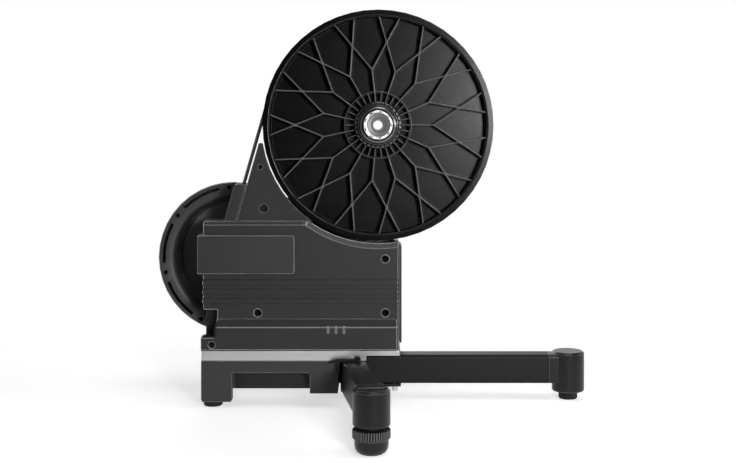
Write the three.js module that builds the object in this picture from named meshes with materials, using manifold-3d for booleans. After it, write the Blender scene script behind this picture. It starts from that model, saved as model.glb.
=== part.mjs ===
// Direct drive bike trainer: drive pulley on a fixed hub, belt, flywheel, folding legs.
// Millimetres. X points to the bike's front wheel, Y away from the drive side, Z up.
// Y = 0 is the bike's mid-plane. The floor is Z = 0. Places are given from the hub's plane X = 0
// and the whole trainer is then shifted so that its origin is the middle of its footprint.
import * as THREE from 'three';
import { mergeVertices } from 'three/addons/utils/BufferGeometryUtils.js';
import Module from 'manifold-3d';

const wasm = await Module();
wasm.setup();

// Fits and overruns shared by the whole part
const SEAT_GAP = 0.3;        // between pieces that rest on or in each other
const RUN_GAP = 2;           // between a turning piece and a fixed one
const CUT_OVERRUN = 1;       // how far a cutting tool reaches past the face that it opens
const CHORD_SAG = 0.3;       // largest flat on a round outline
const LEAST_SIDES = 12;
const WELD = 1e-4;           // corners nearer than this are one corner

// Hub and drive pulley
const HUB_HALF_WIDTH = 71;        // 142 mm between dropout faces
const THRU_BORE_R = 6;
const AXLE_R = 8.5;
const PULLEY_R = 141.4;
const FLANGE_HEIGHT = 3.7;
const PULLEY_BED_R = PULLEY_R - FLANGE_HEIGHT;
const PULLEY_FRONT = -47;
const PULLEY_FLANGE = 2.4;
const BELT_WIDTH = 22;
const BELT_THICKNESS = 2.2;
const RIM_LAND = 6.7;             // front face of the rim
const RIM_STEP = 1.3;
const RIM_WALL = 4.5;
const WEB_FRONT = -25;
const WEB_THICKNESS = 3;
const RIB_COUNT = 15;
const RIB_WIDTH = 1.9;
const RIB_FRONT = -44;
const RIB_STEP = 0.2;             // crossing ribs stand at levels this far apart
const RING_R = 40.4;
const RING_WALL = 1.8;
const SPLIT_SHARE = 0.4845;       // of the pulley's radius, where each rib splits
const SPLIT_R = PULLEY_R * SPLIT_SHARE;
const BRANCH_SPREAD = 17.4;       // degrees from the stem's ray to the branch's end at the rim
const FIN_WIDTH = 1.6;
const HUB_R = 28;
const HUB_LIP_R = 24.4;
const HUB_LIP_FRONT = -50;
const SEAL_R = 20.5;
const SEAL_THICKNESS = 2.6;
const BEARING_R = 16;
const BEARING_WIDTH = 8;
const HUB_BORE_BACK = -18.5;
const FREEHUB_R = 17.5;
const FREEHUB_FRONT = -68;
const FREEHUB_BACK = -37;
const FREEHUB_MOUTH_R = 14;
const FREEHUB_MOUTH_DEPTH = 12;
const SPLINE_COUNT = 9;
const SPLINE_WIDTH = 4;
const SPLINE_DEPTH = 1.6;
const CAP_FACE_R = 9.8;
const CAP_SKIRT_R = 13.4;
const CAP_SKIRT = 4.5;
const CAP_SLEEVE = 8;

// Flywheel
const FLY_X = -184.6;
const FLY_R = 96.5;
const FLY_CLEARANCE = 9.6;        // above the chassis plate
const FLY_FRONT = 20;
const FLY_WIDTH = 45;
const FLY_MOUTH_R = 79.4;
const FLY_MOUTH_DEPTH = 8;        // of the soft flare from the land into the cup
const FLY_CUP_R = 74.5;
const FLY_CHAMFER = 1.6;
const FLY_WEB = 8;
const FLY_HUB_R = 22;
const FLY_HUB_FRONT = 38;
const FLY_SHAFT_R = 7.5;
const FLY_HOLE_R = 2.8;
const FLY_HOLE_SIDES = 8;
const FLY_PATTERN_R = 89.6;
const FLY_SLOT_HALF_WIDTH = 1.95;
const FLY_SLOT_SPAN = 33.6;       // degrees
const FLY_PATTERN_PITCH = 49.3;   // degrees, seven of each, closed by one wider land
const FLY_PATTERN_COUNT = 7;
const FLY_FIRST_HOLE = 94;        // degrees from +X towards +Z
const FLY_SLOT_DEPTH = 9;
const FLY_MOUTH_SHARES = [[0.2, 0.45], [0.55, 0.13]];   // how far out and back the flare's corners lie
const SMALL_BED_R = 13.5;
const SMALL_FLANGE_R = 16.6;
const IDLER_R = 9;
const IDLER_OFFSET_X = -8.4;      // from the flywheel's axis
const IDLER_RISE = 39;
const IDLER_COVER = 3.1;          // from the roller up to the housing's top
const IDLER_BOLT_R = 3;

// Housing
const COVER_LEFT = -213.3;
const COVER_RIGHT = 25;
const COVER_FRONT = -52;
const COVER_BACK = -17;
const COVER_FACE = 6;             // front wall
const COVER_WALL = 3;
const LIP_GAP = 3.6;              // between the pulley's rim and the scalloped lip
const LIP_R = PULLEY_R + LIP_GAP;
const SCOOP_DEPTH = 26.7;         // from the housing's top down to the lip's lowest point
const LIP_CHAMFER = 6;
const TOP_CHAMFER = 3.6;
const EDGE_CHAMFER = 1.6;
const LEDGE_LEFT = -215.5;
const LEDGE_RIGHT = 23;
const LEDGE_OUT = 6;
const LEDGE_RISE = 30.1;          // this and the rises below are above the chassis plate
const LEDGE_SLOPE = 8.8;
const RIDGE_PROUD = 0.8;
const RIDGE_HEIGHT = 6.2;
const RIDGE_PITCH = 11.2;
const RIDGE_COUNT = 3;
const NOTCH_RIGHT = -195.9;
const NOTCH_NARROW = 2.8;         // how far the notch draws in beside the ledge
const NOTCH_DEPTH = 24;
const NOTCH_RISE = 16.8;
const NOTCH_HEIGHT = 33.7;
const SHADOW_GROOVE = 1.4;        // rebate along the cover's lower edge
const SHADOW_DEPTH = 2.5;
const BADGE_LEFT = -220;
const BADGE_RIGHT = -101.6;
const BADGE_DROP = 16;            // below the housing's top
const BADGE_HEIGHT = 47.2;
const BADGE_PROUD = 4.8;
const RIDGE_DROP = 36.2;          // from the badge plate down to the lowest ridge
const BADGE_CORNER = 3;
const BADGE_WRAP = 52;
const SCREW_HEAD_R = 4.4;
const SCREW_SIDES = 16;
const SCREW_HOLE_R = 4.9;
const SCREW_SHANK_R = 2.3;
const SCREW_POST_R = 7.5;
const SCREW_RECESS = 14;
const SCREW_HEAD = 4;
const SCREW_LEFT_X = -146.6;
const SCREW_RIGHT_X = 9;
const SCREW_RISE = 46.2;
const SCREW_DROP = 18.4;          // from the lip's lowest point down to the upper screw
const SOCKET_X = -202.2;
const SOCKET_RISE = 8.3;
const SOCKET_R = 4;
const SOCKET_BORE_R = 2.8;
const SOCKET_PIN_R = 1;
const LIGHT_X = -51;
const LIGHT_PITCH = 9.75;
const LIGHT_COUNT = 3;
const LIGHT_WIDTH = 1;
const LIGHT_HEIGHT = 7.5;
const HOOK_REACH = 2.6;
const HOOK_THICKNESS = 1.4;
const HOOK_HEIGHT = 9;
const HOOK_WIDTH = 6;
const BOARD_THICKNESS = 1.6;
const BOARD_LEFT = -124;
const BOARD_RIGHT = -4;
const BOARD_RISE = 9.5;
const BOARD_HEIGHT = 34;
// Shares of the board's width and height, from and to, that each component takes
const BOARD_SHARES = [
  [0.08, 0.2, 0.25, 0.75], [0.34, 0.5, 0.2, 0.6], [0.62, 0.72, 0.3, 0.85], [0.8, 0.94, 0.15, 0.5],
];
const CHUTE_HEIGHT = 45.7;         // above the housing's top
const CHUTE_OFFSET = 2.8;          // how far the chute's middle stands back from the strand
const CHUTE_WIDTH = 14.8;
const CHUTE_WALL = 2;
const CHUTE_FRONT = -47.5;
const CHUTE_BACK = -18.5;
const GUARD_FRONT = -43;
const GUARD_THICKNESS = 3;
const GUARD_BELT_GAP = 3.4;
const GUARD_RIM_GAP = 1.9;
const GUARD_TIP_ROOM = 5;         // between rim and strand edges at the guard's tip
const GUARD_TIP_R = 1.6;
const GUARD_FOOT = 19;
const GUARD_BOSS_DEPTH = 7;
const GUARD_BOSSES = [[0.47, 0.695, 3.2], [0.42, 0.163, 5.3]];   // shares across and up, and radius

// Main frame, behind the belt
const FRAME_FRONT = -16.7;
const FRAME_BACK = 14;
const FRAME_WALL = 5;
const ARM_HUB_R = 33;
const ARM_FOOT_LEFT = -132;
const ARM_WAIST_LEFT = -111;
const ARM_NECK_SHARE = 0.7;       // of the waist's reach, halfway up to the hub
const ARM_HUB_FROM = -15;         // degrees round the hub that the arm's end wraps
const ARM_HUB_TO = 144;
const ARM_WAIST_RISE = 31.3;      // above the housing's top
const ARM_RIB_ENDS = [-80, -20];  // X of the ribs that end on the housing's top
const ARM_TOE = { x: 16, rise: 13.3 };
const ARM_RIB = 6;
const ARM_POCKET = 20;
const ARM_NOSE_R = 21;
const ARM_NOSE_END = 58;
const FLY_BOSS_R = 25;
const FAR_COVER_HEEL = -58;       // degrees round the flywheel where the cover turns down
const FAR_COVER_RIGHT = 30.2;
const FAR_COVER_DROP = 28.7;       // below the drive side's top
const FAR_COVER_DEPTH = 38;
const FAR_COVER_GAP = 7;          // round the flywheel
const FAR_COVER_SKIRT = 2.6;
const FAR_CORNER = 8;
const VENT_COUNT = 6;
const VENT_LENGTH = 46;
const VENT_WIDTH = 3;
const VENT_PITCH = 9;

// Chassis
const PLATE_LEFT = -216;
const PLATE_RIGHT = 27.3;
const PLATE_HALF_WIDTH = 52;
const PLATE_THICKNESS = 12;
const PLATE_STEP = 6;
const PLATE_STEP_X = -14.6;
const PLATE_CORNER = 3;
const BASE_LOW = 7;
const BASE_MID_LOW = 17.4;
const BASE_SHELF = 42.5;
const BASE_LEFT_BLOCK = -178;
const BASE_BLOCK_WALL = 9;         // near wall of the left block past its solid end
const BASE_BLOCK_END = -188;
const BASE_CORNER_INNER = 22;      // the left block stands on two corners past this
const BASE_CORNER_HIGH = 17.4;
const BASE_CENTRE_LEFT = -83.2;
const BASE_CENTRE_RIGHT = -49;
const BASE_SPINE_HALF = 24;
const BASE_CHAMFER = 3;
const PAD_R = 11.7;
const PAD_X = -203;
const PAD_Y = 37;
const PAD_SUNK = 3;

// Legs
const LEG_WIDTH = 28.6;
const LEG_LOW = 21;
const LEG_HEIGHT = 36.2;
const LEG_WALL = 2.6;
const LEG_CORNER = 4;
const FRONT_FOOT_X = 240;
const FRONT_FOOT_R = 20.5;
const FRONT_FOOT_LOW = 10;
const FRONT_FOOT_HIGH = 60;
const FOOT_SEAM = 26.3;           // from the foot's axis back to the end of the tube
const FOOT_PLUG = 15;
const FOOT_CHAMFER = 2.5;
const FRONT_PAD_R = 12;
const PIVOT_X = -32;
const PIVOT_Y = 38;
const LEG_LEAN = 6.7;             // degrees forward of square
const LEG_REACH = 215.4;          // pivot to the foot's axis
const LEG_RISE = 10.6;            // how much higher the tube is at its seam
const LEG_LEVEL = 18;             // level stretch past the pivot
const PIVOT_BOLT_R = 4.6;
const PIVOT_HEAD_R = 8;
const BOLT_HEAD = 5.4;
const BRACKET_THICKNESS = 3.6;
const BRACKET_TONGUE_X = 29;
const BRACKET_TONGUE_HALF = 13;
const BRACKET_EYE_R = 14;
const FRONT_BOLT_R = 2.5;
const FRONT_BOLT_HEAD_R = 3.7;
const FRONT_BOLT_NEAR = { x: 21, y: -7 };
const FRONT_BOLT_FAR = { x: 12, y: 7 };
const FRONT_BOLT_REACH = 26;
const SIDE_FOOT_R = 20.15;
const SIDE_FOOT_LOW = 30;
const SIDE_FOOT_HIGH = 68.7;
const RING_LOW = 16.6;
const RING_HIGH = 26.8;
const RING_OUT_R = 20.3;
const RING_FLUTES = 24;
const RING_FLUTE_SHARE = 0.5;      // of each pitch that is groove
const RING_FLUTE = 0.9;            // depth of the grooves between the grips
const COLLAR_R = 12;
const COLLAR_REACH = 6;
const STEM_R = 6;
const STEM_TOP = 52;
const DOME_R = 18.3;
const DOME_FLAT_R = 9;
const DOME_SHARE = 0.62;           // of the foot's height that is rounded
const DOME_STEPS = 4;
const LEVER_PIN_X = -24;
const LEVER_PIN_RISE = 3.6;       // above the chassis plate's underside
const LEVER_PRONG_DROP = 16;
const LEVER_PIN_R = 2;
const LEVER_PIN_OUT = 11;
const LEVER_THICKNESS = 5;
const LEVER_HEAD_R = 2.8;
const LEVER_EYE_R = 3.3;
const LEVER_BAR = 3.4;
const LEVER_TIP_X = -58;
const LEVER_DROP = 2.4;            // from the bar down to the wing's tip

// Brake inside the flywheel's cup
const BRAKE_OUT_R = FLY_CUP_R - 5;
const BRAKE_IN_R = 54;
const BRAKE_HALF_SPAN = 34;       // degrees
const BRAKE_FRONT = 24;
const BRAKE_BACK = 50;
const BRAKE_RAIL_HALF = 9;
const BRAKE_RAIL_FROM = 32;
const BRAKE_RAIL_TO = 66;
const MOTOR_R = 10;
const MOTOR_X = 22;
const MOTOR_Z = -40;
const MOTOR_BACK = 34;

// Levels, each built up from the piece below it
const LEG_TOP = LEG_LOW + LEG_HEIGHT;
const BRACKET_LOW = LEG_LOW - SEAT_GAP - BRACKET_THICKNESS;
const PLATE_LOW = LEG_TOP + SEAT_GAP;
const PLATE_STEP_Z = PLATE_LOW + PLATE_STEP;
const PLATE_HIGH = PLATE_LOW + PLATE_THICKNESS;
const LEVER_PIN_Z = PLATE_LOW + LEVER_PIN_RISE;
const LEVER_PRONG_LOW = PLATE_LOW - LEVER_PRONG_DROP;
const SOCKET_Z = PLATE_HIGH + SOCKET_RISE;
const BOARD_LOW = PLATE_HIGH + BOARD_RISE;
const BOARD_HIGH = BOARD_LOW + BOARD_HEIGHT;
const NOTCH_LOW = PLATE_HIGH + NOTCH_RISE;
const NOTCH_HIGH = NOTCH_LOW + NOTCH_HEIGHT;
const LEDGE_TOP = PLATE_HIGH + LEDGE_RISE;
const SCREW_LOW_Z = PLATE_HIGH + SCREW_RISE;
const FLY_Z = PLATE_HIGH + FLY_CLEARANCE + FLY_R;
const IDLER = [FLY_X + IDLER_OFFSET_X, FLY_Z + IDLER_RISE];
const COVER_TOP = IDLER[1] + IDLER_R + IDLER_COVER;
const FAR_COVER_TOP = COVER_TOP - FAR_COVER_DROP;
const BADGE_HIGH = COVER_TOP - BADGE_DROP;
const BADGE_LOW = BADGE_HIGH - BADGE_HEIGHT;
const RIDGE_LOW = BADGE_LOW - RIDGE_DROP;
const ARM_WAIST = COVER_TOP + ARM_WAIST_RISE;
const LIP_BOTTOM = COVER_TOP - SCOOP_DEPTH;
const SCREW_HIGH_Z = LIP_BOTTOM - SCREW_DROP;
const AXLE_HEIGHT = LIP_BOTTOM + LIP_R;
const ARM_RIBS = [...ARM_RIB_ENDS.map((x) => [x, COVER_TOP - ARM_RIB]), [ARM_TOE.x, COVER_TOP + ARM_TOE.rise]];

const RAD = Math.PI / 180;

// Solids from outlines

function sides(radius) {
  const half = Math.acos(1 - Math.min(CHORD_SAG / radius, 1 / 2));
  return Math.max(LEAST_SIDES, 4 * Math.ceil(Math.PI / half / 4));
}

// Merges shared corners, drops slivers that have collapsed, and makes one closed solid.
function solid(geometry) {
  const bare = new THREE.BufferGeometry();
  bare.setAttribute('position', geometry.getAttribute('position').clone());
  if (geometry.index) {
    bare.setIndex(geometry.index.clone());
  }
  const merged = mergeVertices(bare, WELD);
  const points = merged.getAttribute('position').array;
  const index = merged.index.array;
  const kept = [];
  let volume = 0;
  const at = (i) => new THREE.Vector3().fromArray(points, 3 * i);
  for (let i = 0; i < index.length; i += 3) {
    const [a, b, c] = [index[i], index[i + 1], index[i + 2]];
    if (a !== b && b !== c && c !== a) {
      kept.push([a, b, c]);
      volume += at(a).dot(at(b).cross(at(c)));
    }
  }
  const outward = volume > 0 ? kept : kept.map(([a, b, c]) => [a, c, b]);
  return new wasm.Manifold(new wasm.Mesh({
    numProp: 3,
    vertProperties: Float32Array.from(points),
    triVerts: Uint32Array.from(outward.flat()),
  }));
}

function geometryOf(body) {
  const mesh = body.getMesh();
  const geometry = new THREE.BufferGeometry();
  geometry.setAttribute('position', new THREE.BufferAttribute(Float32Array.from(mesh.vertProperties), 3));
  geometry.setIndex(new THREE.BufferAttribute(Uint32Array.from(mesh.triVerts), 1));
  geometry.computeVertexNormals();
  return geometry;
}

const join = (first, ...others) => others.reduce((sum, next) => sum.add(next), first);
const cut = (first, ...tools) => tools.reduce((rest, tool) => rest.subtract(tool), first);

function extrude(points, from, to, holes, matrix) {
  const shape = new THREE.Shape(points.map(([u, v]) => new THREE.Vector2(u, v)));
  for (const hole of holes) {
    shape.holes.push(new THREE.Path(hole.map(([u, v]) => new THREE.Vector2(u, v))));
  }
  const geometry = new THREE.ExtrudeGeometry(shape, { depth: to - from, bevelEnabled: false });
  geometry.translate(0, 0, from);
  geometry.applyMatrix4(matrix);
  return solid(geometry);
}

const AXES = {
  // outline drawn in X and Z, carried along Y
  y: new THREE.Matrix4().set(1, 0, 0, 0, 0, 0, 1, 0, 0, 1, 0, 0, 0, 0, 0, 1),
  // outline drawn in X and Y, carried along Z
  z: new THREE.Matrix4(),
  // outline drawn in Y and Z, carried along X
  x: new THREE.Matrix4().set(0, 0, 1, 0, 1, 0, 0, 0, 0, 1, 0, 0, 0, 0, 0, 1),
};
const alongY = (points, from, to, holes = []) => extrude(points, from, to, holes, AXES.y);
const alongZ = (points, from, to, holes = []) => extrude(points, from, to, holes, AXES.z);
const alongX = (points, from, to, holes = []) => extrude(points, from, to, holes, AXES.x);

function box(x, y, z) {
  return alongZ([[x[0], y[0]], [x[1], y[0]], [x[1], y[1]], [x[0], y[1]]], z[0], z[1]);
}

// A closed profile of [radius, place] turned about Y or Z, with its axis through the given point.
function turned(profile, axis, centre = [0, 0], count = 0) {
  const outer = Math.max(...profile.map(([radius]) => radius));
  const points = [...profile, profile[0]].map(([radius, place]) => new THREE.Vector2(radius, place));
  const geometry = new THREE.LatheGeometry(points, count || sides(outer));
  if (axis === 'z') {
    geometry.rotateX(Math.PI / 2);
    geometry.translate(centre[0], centre[1], 0);
  } else {
    geometry.translate(centre[0], 0, centre[1]);
  }
  return solid(geometry);
}

function drum(radius, from, to, axis, centre, count = 0) {
  return turned([[0, from], [radius, from], [radius, to], [0, to]], axis, centre, count);
}

function tube(inner, outer, from, to, axis, centre) {
  return turned([[inner, from], [outer, from], [outer, to], [inner, to]], axis, centre);
}

// Points on an arc, from one angle to another in radians, both ends included.
function arc(centre, radius, from, to, steps = 0) {
  const count = steps || Math.max(2, Math.ceil(sides(radius) * Math.abs(to - from) / (2 * Math.PI)));
  return Array.from({ length: count + 1 }, (_, i) => {
    const angle = from + (to - from) * i / count;
    return [centre[0] + radius * Math.cos(angle), centre[1] + radius * Math.sin(angle)];
  });
}

const circle = (centre, radius) => arc(centre, radius, 0, 2 * Math.PI).slice(1);

// Rectangle with the given corner radii, from the low-left corner anticlockwise.
function rounded(u, v, radii) {
  const corners = [[u[0], v[0], 1, 1], [u[1], v[0], -1, 1], [u[1], v[1], -1, -1], [u[0], v[1], 1, -1]];
  return corners.flatMap(([cu, cv, du, dv], i) => {
    const radius = Array.isArray(radii) ? radii[i] : radii;
    const start = Math.PI + i * Math.PI / 2;
    return radius ? arc([cu + du * radius, cv + dv * radius], radius, start, start + Math.PI / 2) : [[cu, cv]];
  });
}

// Straight bar of a given width between two points of the X-Z plane.
function bar(start, end, width, from, to) {
  const length = Math.hypot(end[0] - start[0], end[1] - start[1]);
  const side = [-(end[1] - start[1]) / length * width / 2, (end[0] - start[0]) / length * width / 2];
  return alongY([
    [start[0] - side[0], start[1] - side[1]], [end[0] - side[0], end[1] - side[1]],
    [end[0] + side[0], end[1] + side[1]], [start[0] + side[0], start[1] + side[1]],
  ], from, to);
}

// The line that leaves one wheel and meets the next, as the direction of its normal. A wheel is
// [centre, radius], and its radius is negative where the belt goes round it clockwise.
function tangent(from, to) {
  const [dx, dz] = [to[0][0] - from[0][0], to[0][1] - from[0][1]];
  return Math.atan2(dz, dx) - Math.acos((from[1] - to[1]) / Math.hypot(dx, dz));
}

// Outline of a belt surface that goes round the wheels in order.
function wrap(wheels) {
  const count = wheels.length;
  return wheels.flatMap((wheel, i) => {
    const arrive = tangent(wheels[(i + count - 1) % count], wheel);
    const leave = tangent(wheel, wheels[(i + 1) % count]);
    const turn = 2 * Math.PI;
    const sweep = (((leave - arrive) % turn) + turn) % turn;
    return wheel[1] > 0
      ? arc(wheel[0], wheel[1], arrive, arrive + sweep)
      : arc(wheel[0], -wheel[1], arrive + Math.PI, arrive + Math.PI + sweep - turn);
  });
}

const polar = (radius, degrees) => [radius * Math.cos(degrees * RAD), radius * Math.sin(degrees * RAD)];

// Finishes, one material for each mesh

const FINISH = {
  housing: { color: 0x404143, roughness: 0.62, metalness: 0.05 },
  pulley: { color: 0x2c2d2f, roughness: 0.5, metalness: 0.1 },
  belt: { color: 0x151515, roughness: 0.9, metalness: 0 },
  casting: { color: 0x303133, roughness: 0.55, metalness: 0.4 },
  flywheel: { color: 0x4a4b4d, roughness: 0.45, metalness: 0.6 },
  plate: { color: 0xb6b7b9, roughness: 0.35, metalness: 0.9 },
  tube: { color: 0x28292b, roughness: 0.5, metalness: 0.4 },
  steel: { color: 0xc4c6c8, roughness: 0.28, metalness: 1 },
  darkSteel: { color: 0x4d4f52, roughness: 0.4, metalness: 0.9 },
  rubber: { color: 0x1b1b1c, roughness: 0.85, metalness: 0 },
  board: { color: 0x1f5b3a, roughness: 0.6, metalness: 0 },
  light: { color: 0xe8ecee, roughness: 0.2, metalness: 0 },
};

const trainer = new THREE.Group();

function piece(name, body, finish) {
  const mesh = new THREE.Mesh(geometryOf(body), new THREE.MeshStandardMaterial(finish));
  mesh.name = name;
  trainer.add(mesh);
  return mesh;
}

const HUB = [0, AXLE_HEIGHT];
const FLY = [FLY_X, FLY_Z];
const BELT_FRONT = PULLEY_FRONT + PULLEY_FLANGE + SEAT_GAP;
const BELT_BACK = BELT_FRONT + BELT_WIDTH;
const PULLEY_BACK = BELT_BACK + SEAT_GAP + PULLEY_FLANGE;

// Drive pulley: rim with a flanged bed, web, and ribs that split and cross like petals

function drivePulley() {
  const bedFront = PULLEY_FRONT + PULLEY_FLANGE;
  const landR = PULLEY_R - RIM_LAND;
  const wallR = PULLEY_BED_R - RIM_WALL;
  const webBack = WEB_FRONT + WEB_THICKNESS;
  const body = turned([
    [BEARING_R + SEAT_GAP, HUB_BORE_BACK], [BEARING_R + SEAT_GAP, FREEHUB_BACK + SEAT_GAP],
    [SEAL_R, FREEHUB_BACK + SEAT_GAP], [SEAL_R, HUB_LIP_FRONT], [HUB_LIP_R, HUB_LIP_FRONT],
    [HUB_LIP_R, PULLEY_FRONT], [HUB_R, PULLEY_FRONT], [HUB_R, WEB_FRONT], [wallR, WEB_FRONT],
    [wallR, PULLEY_FRONT + RIM_STEP], [landR, PULLEY_FRONT + RIM_STEP], [landR, PULLEY_FRONT],
    [PULLEY_R, PULLEY_FRONT], [PULLEY_R, bedFront], [PULLEY_BED_R, bedFront],
    [PULLEY_BED_R, BELT_BACK + SEAT_GAP], [PULLEY_R, BELT_BACK + SEAT_GAP], [PULLEY_R, PULLEY_BACK],
    [wallR, PULLEY_BACK], [wallR, webBack], [HUB_R, webBack], [HUB_R, HUB_BORE_BACK],
  ], 'y', HUB);
  const ribBack = WEB_FRONT + WEB_THICKNESS / 2;
  const at = ([u, v]) => [HUB[0] + u, HUB[1] + v];
  const ring = tube(RING_R - RING_WALL / 2, RING_R + RING_WALL / 2, RIB_FRONT, ribBack, 'y', HUB);
  const parts = [ring];
  const step = 360 / RIB_COUNT;
  for (let i = 0; i < RIB_COUNT; i += 1) {
    const ray = i * step;
    parts.push(bar(at(polar(RING_R, ray)), at(polar(SPLIT_R, ray)), RIB_WIDTH, RIB_FRONT - RIB_STEP, ribBack));
    for (const side of [-1, 1]) {
      const end = polar(wallR + RIM_WALL / 4, ray + side * BRANCH_SPREAD);
      parts.push(bar(at(polar(SPLIT_R, ray)), at(end), RIB_WIDTH, RIB_FRONT + (side + 2) * RIB_STEP, ribBack));
      const fin = ray + (side + 1) * step / 4;
      parts.push(bar(at(polar(HUB_R - FIN_WIDTH, fin)), at(polar(RING_R, fin)), FIN_WIDTH,
        RIB_FRONT + RIB_STEP, ribBack));
    }
  }
  return join(body, ...parts);
}

function freehub() {
  const mouth = FREEHUB_FRONT + FREEHUB_MOUTH_DEPTH;
  const body = turned([
    [AXLE_R + SEAT_GAP, FREEHUB_BACK], [AXLE_R + SEAT_GAP, mouth], [FREEHUB_MOUTH_R, mouth],
    [FREEHUB_MOUTH_R, FREEHUB_FRONT], [FREEHUB_R, FREEHUB_FRONT], [FREEHUB_R, FREEHUB_BACK],
  ], 'y', HUB);
  const grooves = Array.from({ length: SPLINE_COUNT }, (_, i) => {
    const [inner, outer] = [FREEHUB_R - SPLINE_DEPTH, FREEHUB_R + CUT_OVERRUN];
    const ray = i * 360 / SPLINE_COUNT;
    const [a, b] = [polar(inner, ray), polar(outer, ray)];
    return bar([HUB[0] + a[0], HUB[1] + a[1]], [HUB[0] + b[0], HUB[1] + b[1]], SPLINE_WIDTH,
      FREEHUB_FRONT - CUT_OVERRUN, HUB_LIP_FRONT - RUN_GAP);
  });
  return cut(body, ...grooves);
}

// End cap on the hollow axle; side is -1 on the drive side and 1 on the far side.
function endCap(side, skirtR) {
  const face = side * HUB_HALF_WIDTH;
  const skirt = side * (HUB_HALF_WIDTH - CAP_SKIRT);
  const axleEnd = side * (HUB_HALF_WIDTH - CAP_SKIRT / 2);
  const sleeve = side * (HUB_HALF_WIDTH - CAP_SKIRT - CAP_SLEEVE);
  return turned([
    [THRU_BORE_R, face], [CAP_FACE_R, face], [skirtR, skirt], [skirtR, skirt - side * RUN_GAP],
    [AXLE_R + RUN_GAP, skirt - side * RUN_GAP], [AXLE_R + RUN_GAP, sleeve], [AXLE_R + SEAT_GAP, sleeve],
    [AXLE_R + SEAT_GAP, axleEnd], [THRU_BORE_R, axleEnd],
  ], 'y', HUB);
}

const bearing = (inner, outer, from, centre) => tube(inner, outer, from, from + BEARING_WIDTH, 'y', centre);

piece('drive_pulley', drivePulley(), FINISH.pulley);
piece('freehub_body', freehub(), FINISH.steel);
piece('hub_seal', tube(FREEHUB_R + SEAT_GAP, SEAL_R - SEAT_GAP, HUB_LIP_FRONT + SEAT_GAP,
  HUB_LIP_FRONT + SEAL_THICKNESS, 'y', HUB), FINISH.rubber);
const AXLE_END = HUB_HALF_WIDTH - CAP_SKIRT / 2 - SEAT_GAP;
piece('hub_axle', tube(THRU_BORE_R, AXLE_R, -AXLE_END, AXLE_END, 'y', HUB), FINISH.steel);
piece('drive_end_cap', endCap(-1, CAP_SKIRT_R), FINISH.steel);
piece('far_end_cap', endCap(1, CAP_SKIRT_R), FINISH.darkSteel);
const PULLEY_BEARING_FAR = HUB_BORE_BACK - SEAT_GAP - BEARING_WIDTH;
piece('pulley_bearing_near', bearing(AXLE_R + SEAT_GAP, BEARING_R, PULLEY_BEARING_FAR - SEAT_GAP
  - BEARING_WIDTH, HUB), FINISH.steel);
piece('pulley_bearing_far', bearing(AXLE_R + SEAT_GAP, BEARING_R, PULLEY_BEARING_FAR, HUB), FINISH.steel);

// Belt: one closed loop round both pulleys, pressed inwards by the idler

function beltWheels(surface) {
  // surface is 0 on the inner face of the belt and 1 on its outer face
  const lift = SEAT_GAP + surface * BELT_THICKNESS;
  return [
    [HUB, PULLEY_BED_R + lift],
    [IDLER, -(IDLER_R + SEAT_GAP + (1 - surface) * BELT_THICKNESS)],
    [FLY, SMALL_BED_R + lift],
  ];
}

piece('drive_belt', alongY(wrap(beltWheels(1)), BELT_FRONT, BELT_BACK, [wrap(beltWheels(0))]), FINISH.belt);
const STRAND_ANGLE = tangent(beltWheels(0)[0], beltWheels(0)[1]);

// Flywheel with its cup open to the drive side, its shaft and its small pulley

function flywheel() {
  const back = FLY_FRONT + FLY_WIDTH;
  const webFront = back - FLY_WEB;
  const body = turned([
    [FLY_SHAFT_R + SEAT_GAP, FLY_HUB_FRONT], [FLY_HUB_R, FLY_HUB_FRONT], [FLY_HUB_R + FLY_WEB, webFront],
    [FLY_CUP_R - 2 * FLY_WEB, webFront], [FLY_CUP_R - FLY_WEB / 2, webFront - FLY_WEB / 2],
    [FLY_CUP_R, webFront - 2 * FLY_WEB], [FLY_CUP_R, FLY_FRONT + FLY_MOUTH_DEPTH],
    ...FLY_MOUTH_SHARES.map(([out, back]) => [FLY_CUP_R + (FLY_MOUTH_R - FLY_CUP_R) * out,
      FLY_FRONT + FLY_MOUTH_DEPTH * back]),
    [FLY_MOUTH_R, FLY_FRONT], [FLY_R - FLY_CHAMFER, FLY_FRONT], [FLY_R, FLY_FRONT + FLY_CHAMFER],
    [FLY_R, back - FLY_CHAMFER], [FLY_R - FLY_CHAMFER, back], [FLY_CUP_R, back],
    [FLY_CUP_R - FLY_WEB, back - FLY_WEB / 2], [FLY_SHAFT_R + SEAT_GAP, back - FLY_WEB / 2],
  ], 'y', FLY);
  const tools = [];
  const floor = FLY_FRONT + FLY_SLOT_DEPTH;
  const half = FLY_SLOT_SPAN / 2 * RAD - FLY_SLOT_HALF_WIDTH / FLY_PATTERN_R;
  for (let i = 0; i < FLY_PATTERN_COUNT; i += 1) {
    const hole = (FLY_FIRST_HOLE + i * FLY_PATTERN_PITCH) * RAD;
    const at = (angle) => [FLY[0] + FLY_PATTERN_R * Math.cos(angle), FLY[1] + FLY_PATTERN_R * Math.sin(angle)];
    tools.push(drum(FLY_HOLE_R, FLY_FRONT - CUT_OVERRUN, floor, 'y', at(hole), FLY_HOLE_SIDES));
    const middle = hole + FLY_PATTERN_PITCH / 2 * RAD;
    const [from, to] = [middle - half, middle + half];
    tools.push(alongY([
      ...arc(FLY, FLY_PATTERN_R + FLY_SLOT_HALF_WIDTH, from, to),
      ...arc(at(to), FLY_SLOT_HALF_WIDTH, to, to + Math.PI, 4).slice(1, -1),
      ...arc(FLY, FLY_PATTERN_R - FLY_SLOT_HALF_WIDTH, to, from),
      ...arc(at(from), FLY_SLOT_HALF_WIDTH, from + Math.PI, from + 2 * Math.PI, 4).slice(1, -1),
    ], FLY_FRONT - CUT_OVERRUN, floor));
  }
  return cut(body, ...tools);
}

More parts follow.
